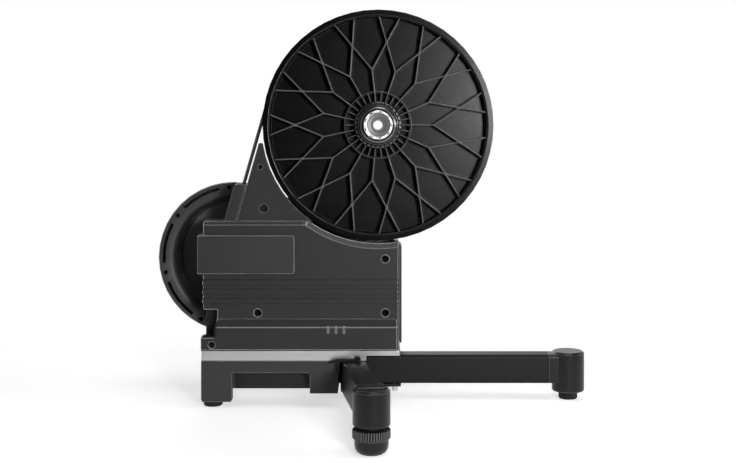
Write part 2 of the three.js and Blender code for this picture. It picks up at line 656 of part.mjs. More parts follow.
piece('flywheel', flywheel(), FINISH.flywheel);
const SHAFT_FRONT = BELT_FRONT - PULLEY_FLANGE / 2;
piece('flywheel_shaft', drum(FLY_SHAFT_R, SHAFT_FRONT, FLY_FRONT + FLY_WIDTH - FLY_CHAMFER, 'y', FLY),
  FINISH.steel);
piece('flywheel_pulley', turned([
  [FLY_SHAFT_R + SEAT_GAP, BELT_FRONT - SEAT_GAP - PULLEY_FLANGE / 2],
  [SMALL_FLANGE_R, BELT_FRONT - SEAT_GAP - PULLEY_FLANGE / 2], [SMALL_FLANGE_R, BELT_FRONT - SEAT_GAP],
  [SMALL_BED_R, BELT_FRONT - SEAT_GAP], [SMALL_BED_R, BELT_BACK + SEAT_GAP],
  [SMALL_FLANGE_R, BELT_BACK + SEAT_GAP], [SMALL_FLANGE_R, BELT_BACK + SEAT_GAP + PULLEY_FLANGE / 2],
  [FLY_SHAFT_R + SEAT_GAP, BELT_BACK + SEAT_GAP + PULLEY_FLANGE / 2],
], 'y', FLY), FINISH.darkSteel);
piece('flywheel_bearing_near', bearing(FLY_SHAFT_R + SEAT_GAP, BEARING_R, FRAME_FRONT + SEAT_GAP, FLY),
  FINISH.steel);
piece('flywheel_bearing_far', bearing(FLY_SHAFT_R + SEAT_GAP, BEARING_R, FRAME_BACK - SEAT_GAP
  - BEARING_WIDTH, FLY), FINISH.steel);

// Idler roller on its bolt, held by a lug that stands on the frame

const LUG_BACK = FRAME_FRONT - SEAT_GAP;
const IDLER_FRONT = BELT_FRONT;
const IDLER_BACK = LUG_BACK - PULLEY_FLANGE - SEAT_GAP;
piece('idler_roller', tube(IDLER_BOLT_R + SEAT_GAP, IDLER_R, IDLER_FRONT, IDLER_BACK, 'y', IDLER),
  FINISH.darkSteel);
piece('idler_bolt', turned([
  [0, LUG_BACK], [IDLER_BOLT_R, LUG_BACK], [IDLER_BOLT_R, IDLER_FRONT - SEAT_GAP],
  [2 * IDLER_BOLT_R, IDLER_FRONT - SEAT_GAP], [2 * IDLER_BOLT_R, IDLER_FRONT - SEAT_GAP - PULLEY_FLANGE / 2],
  [0, IDLER_FRONT - SEAT_GAP - PULLEY_FLANGE / 2],
], 'y', IDLER), FINISH.steel);

function tensionerArm() {
  const reach = [IDLER[0] - FLY_BOSS_R / 3, IDLER[1] - FLY_BOSS_R / 3];
  const eye = drum(2 * IDLER_BOLT_R, LUG_BACK - PULLEY_FLANGE, LUG_BACK, 'y', IDLER);
  const strap = bar(IDLER, reach, 3 * IDLER_BOLT_R, LUG_BACK - PULLEY_FLANGE, LUG_BACK);
  const bore = drum(IDLER_BOLT_R + SEAT_GAP, LUG_BACK - PULLEY_FLANGE - CUT_OVERRUN, LUG_BACK + CUT_OVERRUN,
    'y', IDLER);
  return cut(join(eye, strap), bore);
}

piece('tensioner_arm', tensionerArm(), FINISH.darkSteel);

// Drive side cover: scalloped shell with a chamfered lip, ledge, ridges and screw posts

const COVER_LOW = PLATE_HIGH + SEAT_GAP + CUT_OVERRUN / 2;
const CAVITY_FRONT = COVER_FRONT + COVER_FACE;
const SCREWS = [
  [SCREW_LEFT_X, SCREW_LOW_Z], [SCREW_RIGHT_X, SCREW_LOW_Z], [SCREW_RIGHT_X, SCREW_HIGH_Z],
];
const LIGHTS = Array.from({ length: LIGHT_COUNT },
  (_, i) => LIGHT_X + (i - (LIGHT_COUNT - 1) / 2) * LIGHT_PITCH);
const LEDGE_FRONT = COVER_FRONT - LEDGE_OUT;

// X of the rear strand's inner face, moved out by a distance, at height z
const strandX = (z, out = 0) => (PULLEY_BED_R + SEAT_GAP + out - Math.sin(STRAND_ANGLE) * (z - AXLE_HEIGHT))
  / Math.cos(STRAND_ANGLE);
const chuteLeft = (z) => strandX(z, BELT_THICKNESS / 2) - CHUTE_OFFSET - CHUTE_WIDTH / 2;
const GUARD_RIM_R = PULLEY_R + GUARD_RIM_GAP;
const GUARD_REACH = PULLEY_BED_R + SEAT_GAP - GUARD_BELT_GAP;
const GUARD_TOP = AXLE_HEIGHT + Math.sin(STRAND_ANGLE) * GUARD_REACH
  + Math.cos(STRAND_ANGLE) * Math.sqrt((GUARD_RIM_R + GUARD_TIP_ROOM) ** 2 - GUARD_REACH ** 2);
const CHUTE_LOW = COVER_TOP + SEAT_GAP;
const CHUTE_MOUTH = [chuteLeft(CHUTE_LOW) + CHUTE_WALL, chuteLeft(CHUTE_LOW) + CHUTE_WIDTH - CHUTE_WALL];

// Outline of a housing wall whose top is scooped out round the hub.
function scalloped(left, right, low, top, radius) {
  const dropAt = (x) => Math.asin(Math.min(1, x / radius));
  const start = -Math.PI / 2 + dropAt(right);
  const end = -Math.PI / 2 - Math.acos((AXLE_HEIGHT - top) / radius);
  return [[left, low], [right, low], ...arc(HUB, radius, start, end), [left, top]];
}

function driveSideCover() {
  const shell = alongY(scalloped(COVER_LEFT, COVER_RIGHT, COVER_LOW, COVER_TOP, LIP_R),
    COVER_FRONT, COVER_BACK);
  const ledge = alongX([
    [COVER_FRONT + CUT_OVERRUN, COVER_LOW], [COVER_FRONT + CUT_OVERRUN, LEDGE_TOP + LEDGE_SLOPE],
    [COVER_FRONT, LEDGE_TOP + LEDGE_SLOPE], [LEDGE_FRONT, LEDGE_TOP], [LEDGE_FRONT, COVER_LOW],
  ], LEDGE_LEFT, LEDGE_RIGHT);
  const ridges = Array.from({ length: RIDGE_COUNT }, (_, i) => {
    const low = RIDGE_LOW + i * RIDGE_PITCH;
    return box([COVER_LEFT - RIDGE_PROUD, COVER_RIGHT], [COVER_FRONT - RIDGE_PROUD, COVER_BACK],
      [low, low + RIDGE_HEIGHT]);
  });
  const cavity = alongY([
    [COVER_LEFT + COVER_WALL, COVER_LOW + COVER_WALL], [COVER_RIGHT - COVER_WALL, COVER_LOW + COVER_WALL],
    [COVER_RIGHT - COVER_WALL, AXLE_HEIGHT], [-scoopHalf(COVER_TOP) + COVER_WALL, AXLE_HEIGHT],
    [-scoopHalf(COVER_TOP) + COVER_WALL, COVER_TOP - COVER_WALL],
    [COVER_LEFT + COVER_WALL, COVER_TOP - COVER_WALL],
  ], CAVITY_FRONT, COVER_BACK + CUT_OVERRUN);
  const lipCone = turned([
    [0, COVER_FRONT - CUT_OVERRUN], [LIP_R + LIP_CHAMFER + CUT_OVERRUN, COVER_FRONT - CUT_OVERRUN],
    [LIP_R, COVER_FRONT + LIP_CHAMFER], [0, COVER_FRONT + LIP_CHAMFER],
  ], 'y', HUB);
  const topBevel = alongX([
    [COVER_FRONT - CUT_OVERRUN, COVER_TOP - TOP_CHAMFER - CUT_OVERRUN],
    [COVER_FRONT + TOP_CHAMFER + CUT_OVERRUN, COVER_TOP + CUT_OVERRUN],
    [COVER_FRONT - CUT_OVERRUN, COVER_TOP + CUT_OVERRUN],
  ], COVER_LEFT - CUT_OVERRUN, COVER_RIGHT + CUT_OVERRUN);
  const edgeBevel = alongZ([
    [COVER_RIGHT - EDGE_CHAMFER, COVER_FRONT - RIDGE_PROUD - CUT_OVERRUN],
    [COVER_RIGHT + CUT_OVERRUN, COVER_FRONT - RIDGE_PROUD - CUT_OVERRUN],
    [COVER_RIGHT + CUT_OVERRUN, COVER_FRONT + EDGE_CHAMFER + CUT_OVERRUN],
  ], LEDGE_TOP + LEDGE_SLOPE, AXLE_HEIGHT);
  const notchWall = box([COVER_LEFT, NOTCH_RIGHT + COVER_WALL],
    [CAVITY_FRONT - CUT_OVERRUN, COVER_FRONT + NOTCH_DEPTH + COVER_WALL],
    [NOTCH_LOW - COVER_WALL, NOTCH_HIGH + COVER_WALL]);
  const notchLeft = LEDGE_LEFT - CUT_OVERRUN;
  const notch = alongY([
    [notchLeft, NOTCH_LOW], [NOTCH_RIGHT - NOTCH_NARROW, NOTCH_LOW], [NOTCH_RIGHT - NOTCH_NARROW, LEDGE_TOP],
    [NOTCH_RIGHT, LEDGE_TOP + LEDGE_SLOPE], [NOTCH_RIGHT, NOTCH_HIGH], [notchLeft, NOTCH_HIGH],
  ], LEDGE_FRONT - CUT_OVERRUN, COVER_FRONT + NOTCH_DEPTH);
  const shadowGroove = box([notchLeft, COVER_RIGHT + CUT_OVERRUN],
    [LEDGE_FRONT - CUT_OVERRUN, LEDGE_FRONT + SHADOW_DEPTH],
    [COVER_LOW - CUT_OVERRUN, COVER_LOW + SHADOW_GROOVE]);
  const posts = SCREWS.map((at) => drum(SCREW_POST_R, CAVITY_FRONT - CUT_OVERRUN, COVER_BACK, 'y', at));
  const seats = SCREWS.map((at) => drum(SCREW_HOLE_R, LEDGE_FRONT - CUT_OVERRUN,
    COVER_FRONT + SCREW_RECESS + SCREW_HEAD + SEAT_GAP, 'y', at));
  const shanks = SCREWS.map((at) => drum(SCREW_SHANK_R + SEAT_GAP, COVER_FRONT, COVER_BACK + CUT_OVERRUN,
    'y', at));
  const lightSlots = LIGHTS.map((x) => box([x - LIGHT_WIDTH / 2 - SEAT_GAP, x + LIGHT_WIDTH / 2 + SEAT_GAP],
    [LEDGE_FRONT - CUT_OVERRUN, CAVITY_FRONT + CUT_OVERRUN],
    [LEDGE_TOP - LIGHT_HEIGHT - SEAT_GAP, LEDGE_TOP + SEAT_GAP]));
  const socketHole = drum(SOCKET_R + SEAT_GAP, LEDGE_FRONT - CUT_OVERRUN, CAVITY_FRONT + CUT_OVERRUN, 'y',
    [SOCKET_X, SOCKET_Z]);
  const mouth = box(CHUTE_MOUTH, [CHUTE_FRONT + CHUTE_WALL, CHUTE_BACK - CHUTE_WALL],
    [COVER_TOP - COVER_WALL - CUT_OVERRUN, COVER_TOP + CUT_OVERRUN]);
  const hookOut = COVER_LEFT - HOOK_REACH;
  const hook = alongY([
    [COVER_LEFT + CUT_OVERRUN, NOTCH_LOW], [hookOut, NOTCH_LOW],
    [hookOut - HOOK_THICKNESS, NOTCH_LOW - HOOK_THICKNESS], [hookOut - HOOK_THICKNESS, NOTCH_LOW - HOOK_HEIGHT],
    [hookOut, NOTCH_LOW - HOOK_HEIGHT], [hookOut, NOTCH_LOW - 2 * HOOK_THICKNESS],
    [COVER_LEFT + CUT_OVERRUN, NOTCH_LOW - 2 * HOOK_THICKNESS],
  ], CAVITY_FRONT + HOOK_WIDTH, CAVITY_FRONT + 2 * HOOK_WIDTH);
  const outside = cut(join(shell, ledge, ...ridges, hook), cavity);
  return cut(join(outside, notchWall, ...posts), lipCone, topBevel, edgeBevel, notch, shadowGroove,
    socketHole, mouth, ...seats, ...shanks, ...lightSlots);
}

// Half the width of the scoop in the cover's top at a given height.
function scoopHalf(height) {
  return Math.sqrt(LIP_R ** 2 - (AXLE_HEIGHT - height) ** 2);
}

piece('drive_side_cover', driveSideCover(), FINISH.housing);

SCREWS.forEach((at, i) => {
  const head = COVER_FRONT + SCREW_RECESS;
  piece(`cover_screw_${i + 1}`, turned([
    [0, head + SCREW_HEAD / 2], [SCREW_HEAD_R / 2, head + SCREW_HEAD / 2], [SCREW_HEAD_R / 2, head],
    [SCREW_HEAD_R, head], [SCREW_HEAD_R, head + SCREW_HEAD], [SCREW_SHANK_R, head + SCREW_HEAD],
    [SCREW_SHANK_R, COVER_BACK], [0, COVER_BACK],
  ], 'y', at, SCREW_SIDES), FINISH.darkSteel);
});

function badgePlate() {
  const front = COVER_FRONT - BADGE_PROUD;
  const face = alongY(rounded([BADGE_LEFT, BADGE_RIGHT], [BADGE_LOW, BADGE_HIGH],
    [0, BADGE_CORNER, BADGE_CORNER, 0]), front, COVER_FRONT - SEAT_GAP);
  const wrapped = box([BADGE_LEFT, COVER_LEFT - SEAT_GAP], [front, front + BADGE_WRAP],
    [BADGE_LOW, BADGE_HIGH]);
  return join(face, wrapped);
}

piece('badge_plate', badgePlate(), FINISH.housing);
piece('power_socket', turned([
  [0, CAVITY_FRONT + 2 * SOCKET_R], [SOCKET_R, CAVITY_FRONT + 2 * SOCKET_R], [SOCKET_R, COVER_FRONT + SEAT_GAP],
  [SOCKET_BORE_R, COVER_FRONT + SEAT_GAP], [SOCKET_BORE_R, CAVITY_FRONT + SOCKET_R],
  [SOCKET_PIN_R, CAVITY_FRONT + SOCKET_R], [SOCKET_PIN_R, COVER_FRONT + SOCKET_R / 2],
  [0, COVER_FRONT + SOCKET_R / 2],
], 'y', [SOCKET_X, SOCKET_Z]), FINISH.rubber);

const GUIDE_FRONT = CAVITY_FRONT + SEAT_GAP;
const GUIDE_BACK = GUIDE_FRONT + 2 * LIGHT_WIDTH;

function statusLightGuide() {
  const rail = box([LIGHTS[0] - LIGHT_HEIGHT, LIGHTS[LIGHT_COUNT - 1] + LIGHT_HEIGHT],
    [GUIDE_FRONT, GUIDE_BACK], [LEDGE_TOP - LIGHT_HEIGHT - LIGHT_WIDTH, LEDGE_TOP + LIGHT_WIDTH]);
  const prongs = LIGHTS.map((x) => box([x - LIGHT_WIDTH / 2, x + LIGHT_WIDTH / 2],
    [LEDGE_FRONT + SEAT_GAP, GUIDE_BACK], [LEDGE_TOP - LIGHT_HEIGHT, LEDGE_TOP - SEAT_GAP]));
  return join(rail, ...prongs);
}

piece('status_light_guide', statusLightGuide(), FINISH.light);

function controlBoard() {
  const front = GUIDE_BACK + SEAT_GAP;
  const back = front + BOARD_THICKNESS;
  const span = BOARD_RIGHT - BOARD_LEFT;
  const parts = BOARD_SHARES.map(([from, to, low, high]) => box(
    [BOARD_LEFT + span * from, BOARD_LEFT + span * to],
    [front + BOARD_THICKNESS / 2, back + 3 * BOARD_THICKNESS],
    [BOARD_LOW + (BOARD_HIGH - BOARD_LOW) * low, BOARD_LOW + (BOARD_HIGH - BOARD_LOW) * high]));
  return join(box([BOARD_LEFT, BOARD_RIGHT], [front, back], [BOARD_LOW, BOARD_HIGH]), ...parts);
}

piece('control_board', controlBoard(), FINISH.board);

// Belt chute on the cover's top, leaning with the belt

function beltChute() {
  const top = COVER_TOP + CHUTE_HEIGHT;
  const lean = (inset, low, high) => [
    [chuteLeft(low) + inset, low], [chuteLeft(low) + CHUTE_WIDTH - inset, low],
    [chuteLeft(high) + CHUTE_WIDTH - inset, high], [chuteLeft(high) + inset, high],
  ];
  const outer = alongY(lean(0, CHUTE_LOW, top), CHUTE_FRONT, CHUTE_BACK);
  const inner = alongY(lean(CHUTE_WALL, CHUTE_LOW - CUT_OVERRUN, top + CUT_OVERRUN),
    CHUTE_FRONT + CHUTE_WALL, CHUTE_BACK - CHUTE_WALL);
  return cut(outer, inner);
}

piece('belt_chute', beltChute(), FINISH.housing);

// Guard between the belt and the pulley's rim: one edge follows the strand, the other the rim

function nipGuard() {
  const low = COVER_TOP + SEAT_GAP;
  const edgeX = (z) => strandX(z, -GUARD_BELT_GAP);
  const chuteTop = COVER_TOP + CHUTE_HEIGHT + SEAT_GAP;
  const besideChute = (z) => chuteLeft(z) + CHUTE_WIDTH + SEAT_GAP;
  const rimAngle = (z) => Math.PI + Math.asin((AXLE_HEIGHT - z) / GUARD_RIM_R);
  const outline = [
    [besideChute(low), low],
    ...arc(HUB, GUARD_RIM_R, rimAngle(low), rimAngle(GUARD_TOP)),
    [(edgeX(GUARD_TOP) - GUARD_RIM_R * Math.cos(rimAngle(GUARD_TOP) - Math.PI)) / 2,
      GUARD_TOP + GUARD_TIP_R / 2],
    [edgeX(GUARD_TOP), GUARD_TOP], [edgeX(chuteTop), chuteTop], [besideChute(chuteTop), chuteTop],
  ];
  const back = GUARD_FRONT + GUARD_THICKNESS;
  const plate = alongY(outline, GUARD_FRONT, back);
  const footRight = -scoopHalf(COVER_TOP) - LIP_GAP;
  const foot = box([besideChute(low + GUARD_THICKNESS), footRight], [back - CUT_OVERRUN, back + GUARD_FOOT],
    [low, low + GUARD_THICKNESS]);
  const spots = GUARD_BOSSES.map(([across, up, r]) => {
    const z = low + up * (GUARD_TOP - low);
    const rimX = GUARD_RIM_R * Math.cos(rimAngle(z));
    return [edgeX(z) + across * (rimX - edgeX(z)), z, r];
  });
  const bosses = spots.map(([x, z, r]) => drum(r + GUARD_THICKNESS / 2, back - CUT_OVERRUN,
    back + GUARD_BOSS_DEPTH, 'y', [x, z]));
  const recesses = spots.map(([x, z, r]) => drum(r, GUARD_FRONT - CUT_OVERRUN,
    back + GUARD_BOSS_DEPTH - GUARD_THICKNESS / 2, 'y', [x, z]));
  return cut(join(plate, foot, ...bosses), ...recesses);
}

piece('nip_guard', nipGuard(), FINISH.housing);

// Main frame: casting that carries the flywheel's bearings and the hub's arm

function frameOutline(inset) {
  const left = COVER_LEFT + inset;
  const right = COVER_RIGHT - inset;
  const low = PLATE_HIGH + SEAT_GAP + inset;
  const top = COVER_TOP - inset;
  return [[left, low], [right, low], [right, top], [left, top]];
}

function armOutline(inset) {
  const hubR = ARM_HUB_R - inset;
  const rightFoot = [COVER_RIGHT - inset, COVER_TOP - ARM_RIB];
  return [
    [ARM_FOOT_LEFT + inset, COVER_TOP - ARM_RIB], rightFoot,
    ...arc(HUB, hubR, ARM_HUB_FROM * RAD, ARM_HUB_TO * RAD),
    [ARM_WAIST_LEFT * ARM_NECK_SHARE + inset, (ARM_WAIST + AXLE_HEIGHT) / 2 - inset / 2],
    [ARM_WAIST_LEFT + inset, ARM_WAIST],
  ];
}

function mainFrame() {
  const lower = alongY(frameOutline(0), FRAME_FRONT, FRAME_BACK);
  const scoop = drum(LIP_R + SEAT_GAP, FRAME_FRONT - CUT_OVERRUN, FRAME_BACK + CUT_OVERRUN, 'y', HUB);
  const arm = alongY(armOutline(0), FRAME_FRONT, FRAME_BACK);
  const hollow = alongY(frameOutline(FRAME_WALL), FRAME_FRONT - CUT_OVERRUN, FRAME_BACK - FRAME_WALL);
  const keep = alongY(armOutline(0), FRAME_FRONT - 2 * CUT_OVERRUN, FRAME_BACK);
  const flyBoss = drum(FLY_BOSS_R, FRAME_FRONT, FRAME_BACK, 'y', FLY);
  const posts = SCREWS.map((at) => drum(SCREW_POST_R, FRAME_FRONT, FRAME_BACK - CUT_OVERRUN, 'y', at));
  const idlerPost = drum(FLY_BOSS_R / 2, FRAME_FRONT, FRAME_BACK - CUT_OVERRUN, 'y',
    [IDLER[0] - FLY_BOSS_R / 8, IDLER[1] - FLY_BOSS_R / 8]);
  const nose = turned([
    [0, FRAME_BACK - CUT_OVERRUN], [ARM_HUB_R - ARM_RIB / 2, FRAME_BACK - CUT_OVERRUN],
    [ARM_NOSE_R, ARM_NOSE_END],
    [0, ARM_NOSE_END],
  ], 'y', HUB);
  const axleBore = drum(AXLE_R + SEAT_GAP, FRAME_FRONT - CUT_OVERRUN, ARM_NOSE_END + CUT_OVERRUN, 'y', HUB);
  const flyBore = drum(BEARING_R + SEAT_GAP, FRAME_FRONT - CUT_OVERRUN, FRAME_BACK + CUT_OVERRUN, 'y', FLY);
  const pocketRing = ARM_HUB_R + ARM_RIB;
  const pocket = cut(alongY(armOutline(ARM_RIB), FRAME_BACK - ARM_POCKET, FRAME_BACK + CUT_OVERRUN),
    drum(pocketRing, FRAME_FRONT, FRAME_BACK + 2 * CUT_OVERRUN, 'y', HUB),
    ...ARM_RIBS.map((at) => bar(HUB, at, ARM_RIB, FRAME_FRONT, FRAME_BACK + 2 * CUT_OVERRUN)));
  const shell = cut(lower, scoop, hollow.subtract(keep));
  return cut(join(shell, arm, flyBoss, ...posts, idlerPost, nose), pocket, axleBore, flyBore);
}

// Far side cover, hollow, drawn back round the flywheel

function farSideCover() {
  const front = FRAME_BACK + SEAT_GAP;
  const back = front + FAR_COVER_DEPTH;
  const low = PLATE_HIGH + SEAT_GAP;
  const right = FAR_COVER_RIGHT;
  const shape = (inset) => {
    const radius = FLY_R + FAR_COVER_GAP + inset;
    const topAngle = Math.asin((FAR_COVER_TOP - inset - FLY_Z) / radius);
    const heel = arc(FLY, radius, topAngle, FAR_COVER_HEEL * RAD);
    return [
      [right - inset, low + inset], [right - inset, FAR_COVER_TOP - FAR_CORNER],
      [right - inset - FAR_CORNER, FAR_COVER_TOP - inset],
      ...heel, [heel.at(-1)[0], low + inset],
    ];
  };
  const outer = alongY(shape(0), front, back);
  const inner = alongY(shape(COVER_WALL), front - CUT_OVERRUN, back - COVER_WALL);
  const skirt = box([PLATE_RIGHT + SEAT_GAP, right], [front, back], [low - FAR_COVER_SKIRT, low + CUT_OVERRUN]);
  const vents = Array.from({ length: VENT_COUNT }, (_, i) => {
    const z = low + 3 * VENT_PITCH + i * VENT_PITCH;
    const x = right - 2 * VENT_PITCH;
    return alongY(rounded([x - VENT_LENGTH, x], [z, z + VENT_WIDTH], VENT_WIDTH / 2 - WELD), back - COVER_WALL
      - CUT_OVERRUN, back + CUT_OVERRUN);
  });
  const bevel = alongX([
    [back - EDGE_CHAMFER - CUT_OVERRUN, FAR_COVER_TOP + CUT_OVERRUN],
    [back + CUT_OVERRUN, FAR_COVER_TOP - EDGE_CHAMFER - CUT_OVERRUN],
    [back + CUT_OVERRUN, FAR_COVER_TOP + CUT_OVERRUN],
  ], FLY_X, right + CUT_OVERRUN);
  return cut(join(outer, skirt), inner, bevel, ...vents);
}

// Chassis plate and the base housing under it

function chassisPlate() {
  const plan = rounded([PLATE_LEFT, PLATE_RIGHT], [-PLATE_HALF_WIDTH, PLATE_HALF_WIDTH], PLATE_CORNER);
  const plate = alongZ(plan, PLATE_LOW, PLATE_HIGH);
  const step = box([PLATE_STEP_X, PLATE_RIGHT + CUT_OVERRUN],
    [-PLATE_HALF_WIDTH - CUT_OVERRUN, PLATE_HALF_WIDTH + CUT_OVERRUN], [PLATE_LOW - CUT_OVERRUN, PLATE_STEP_Z]);
  const bores = [-1, 1].map((side) => drum(PIVOT_BOLT_R + SEAT_GAP, PLATE_LOW - CUT_OVERRUN,
    PLATE_STEP_Z, 'z', [PIVOT_X, side * PIVOT_Y]));
  const pinBores = [-1, 1].map((side) => drum(LEVER_PIN_R + SEAT_GAP,
    side < 0 ? -PLATE_HALF_WIDTH - CUT_OVERRUN : PLATE_HALF_WIDTH - PLATE_CORNER,
    side < 0 ? -PLATE_HALF_WIDTH + PLATE_CORNER : PLATE_HALF_WIDTH + CUT_OVERRUN, 'y',
    [LEVER_PIN_X, LEVER_PIN_Z]));
  return cut(plate, step, ...bores, ...pinBores);
}

function baseHousing() {
  const high = PLATE_LOW - SEAT_GAP;
  const half = PLATE_HALF_WIDTH;
  const c = BASE_CHAMFER;
  const blockOutline = (right) => [
    [PLATE_LEFT + c / 2, BASE_LOW], [right - c / 2, BASE_LOW], [right, BASE_LOW + c],
    [right, high], [PLATE_LEFT, high], [PLATE_LEFT, BASE_LOW + c],
  ];
  const between = box([PLATE_LEFT - CUT_OVERRUN, BASE_LEFT_BLOCK + CUT_OVERRUN],
    [-BASE_CORNER_INNER, BASE_CORNER_INNER], [BASE_LOW - CUT_OVERRUN, BASE_CORNER_HIGH]);
  const block = cut(join(alongY(blockOutline(BASE_BLOCK_END), -half, half),
    alongY(blockOutline(BASE_LEFT_BLOCK), -half, -half + BASE_BLOCK_WALL)), between);
  const shelf = box([PLATE_LEFT, BASE_CENTRE_RIGHT], [-half, half], [BASE_SHELF, high]);
  const centre = alongY([
    [BASE_CENTRE_LEFT, BASE_MID_LOW], [BASE_CENTRE_RIGHT, BASE_MID_LOW], [BASE_CENTRE_RIGHT, high],
    [BASE_CENTRE_LEFT - c, high], [BASE_CENTRE_LEFT - c, BASE_SHELF], [BASE_CENTRE_LEFT, BASE_SHELF - c],
  ], -half, half);
  const spine = box([BASE_BLOCK_END - c, BASE_CENTRE_LEFT + c], [-BASE_SPINE_HALF, BASE_SPINE_HALF],
    [BASE_MID_LOW, high]);
  const pads = [-1, 1].map((side) => drum(PAD_R + SEAT_GAP, BASE_LOW - CUT_OVERRUN, BASE_LOW + PAD_SUNK
    + SEAT_GAP, 'z', [PAD_X, side * PAD_Y]));
  return cut(join(block, shelf, centre, spine), ...pads);
}

piece('main_frame', mainFrame(), FINISH.casting);
piece('far_side_cover', farSideCover(), FINISH.housing);
piece('chassis_plate', chassisPlate(), FINISH.plate);
piece('base_housing', baseHousing(), FINISH.housing);

// Front leg: fixed rectangular tube with a moulded foot

const HALF_LEG = LEG_WIDTH / 2;
const BRACKET_HIGH = BRACKET_LOW + BRACKET_THICKNESS;
const FRONT_BOLTS = [FRONT_BOLT_NEAR, FRONT_BOLT_FAR];

// A closed ring of a tube's section between an outer and an inner corner radius.
const legSection = (inset) => rounded([-HALF_LEG + inset, HALF_LEG - inset],
  [LEG_LOW + inset, LEG_TOP - inset], LEG_CORNER - inset);

function frontLegTube() {
  const from = BASE_CENTRE_RIGHT + SEAT_GAP;
  const body = alongX(legSection(0), from, FRONT_FOOT_X - FOOT_SEAM, [legSection(LEG_WALL).reverse()]);
  const holes = FRONT_BOLTS.map(({ x, y }) => drum(FRONT_BOLT_R + SEAT_GAP, LEG_LOW - CUT_OVERRUN,
    LEG_LOW + LEG_WALL + CUT_OVERRUN, 'z', [x, y]));
  return cut(body, ...holes);
}

// Upright foot with chamfered edges; its axis is Z.
function footDrum(radius, low, high, centre) {
  return turned([
    [0, low], [radius - FOOT_CHAMFER / 2, low], [radius, low + FOOT_CHAMFER / 2], [radius, high - FOOT_CHAMFER],
    [radius - FOOT_CHAMFER, high], [0, high],
  ], 'z', centre);
}

function frontLegFoot() {
  const seam = FRONT_FOOT_X - FOOT_SEAM + SEAT_GAP;
  const block = alongX(legSection(0), seam, FRONT_FOOT_X);
  const plug = alongX(legSection(LEG_WALL + SEAT_GAP), seam - FOOT_PLUG, seam + CUT_OVERRUN);
  const post = footDrum(FRONT_FOOT_R, FRONT_FOOT_LOW, FRONT_FOOT_HIGH, [FRONT_FOOT_X, 0]);
  const seat = drum(FRONT_PAD_R + SEAT_GAP, FRONT_FOOT_LOW - CUT_OVERRUN, FRONT_FOOT_LOW + PAD_SUNK + SEAT_GAP,
    'z', [FRONT_FOOT_X, 0]);
  return cut(join(block, plug, post), seat);
}

function floorPad(radius, top, centre) {
  const chamfer = PAD_SUNK / 2;
  return turned([[0, 0], [radius - chamfer, 0], [radius, chamfer], [radius, top], [0, top]], 'z', centre);
}

function lowerBracket() {
  const eyes = [-1, 1].map((side) => drum(BRACKET_EYE_R, BRACKET_LOW, BRACKET_HIGH, 'z',
    [PIVOT_X, side * PIVOT_Y]));
  const spanX = [PIVOT_X - BRACKET_EYE_R, PIVOT_X + BRACKET_EYE_R];
  const span = box(spanX, [-PIVOT_Y, PIVOT_Y], [BRACKET_LOW, BRACKET_HIGH]);
  const tongue = alongZ(rounded([PIVOT_X, BRACKET_TONGUE_X], [-BRACKET_TONGUE_HALF, BRACKET_TONGUE_HALF],
    LEG_CORNER), BRACKET_LOW, BRACKET_HIGH);
  const bores = [-1, 1].map((side) => drum(PIVOT_BOLT_R + SEAT_GAP, BRACKET_LOW - CUT_OVERRUN,
    BRACKET_HIGH + CUT_OVERRUN, 'z', [PIVOT_X, side * PIVOT_Y]));
  const holes = FRONT_BOLTS.map(({ x, y }) => drum(FRONT_BOLT_R + SEAT_GAP, BRACKET_LOW - CUT_OVERRUN,
    BRACKET_HIGH + CUT_OVERRUN, 'z', [x, y]));
  return cut(join(span, tongue, ...eyes), ...bores, ...holes);
}

function bolt(headR, shankR, reach, centre) {
  const top = BRACKET_LOW - SEAT_GAP;
  return turned([
    [0, top - BOLT_HEAD + BOLT_HEAD / 3], [headR / 2, top - BOLT_HEAD + BOLT_HEAD / 3], [headR / 2, top - BOLT_HEAD],
    [headR, top - BOLT_HEAD], [headR, top], [shankR, top], [shankR, reach], [0, reach],
  ], 'z', centre);
}

piece('front_leg_tube', frontLegTube(), FINISH.tube);
piece('front_leg_foot', frontLegFoot(), FINISH.housing);
piece('front_leg_pad', floorPad(FRONT_PAD_R, FRONT_FOOT_LOW + PAD_SUNK, [FRONT_FOOT_X, 0]), FINISH.rubber);
piece('leg_bracket', lowerBracket(), FINISH.tube);
piece('front_leg_bolt_near', bolt(FRONT_BOLT_HEAD_R, FRONT_BOLT_R, FRONT_BOLT_REACH,
  [FRONT_BOLT_NEAR.x, FRONT_BOLT_NEAR.y]), FINISH.steel);
piece('front_leg_bolt_far', bolt(FRONT_BOLT_HEAD_R, FRONT_BOLT_R, FRONT_BOLT_REACH,
  [FRONT_BOLT_FAR.x, FRONT_BOLT_FAR.y]), FINISH.steel);
piece('rear_pad_near', floorPad(PAD_R, BASE_LOW + PAD_SUNK, [PAD_X, -PAD_Y]), FINISH.rubber);
piece('rear_pad_far', floorPad(PAD_R, BASE_LOW + PAD_SUNK, [PAD_X, PAD_Y]), FINISH.rubber);

// Side legs, built along +X from their pivot and turned out to their side

const SEAM = LEG_REACH - FOOT_SEAM;

// The tube rises from its level root to its foot.
function sideProfile(inset, from, to) {
  const rise = (x) => Math.max(0, (x - LEG_LEVEL) / (SEAM - LEG_LEVEL)) * LEG_RISE;
  const places = from < LEG_LEVEL ? [from, LEG_LEVEL, to] : [from, to];
  const low = places.map((x) => [x, LEG_LOW + inset + rise(x)]);
  const high = places.map((x) => [x, LEG_TOP - inset + rise(x)]).reverse();
  return [...low, ...high];
}

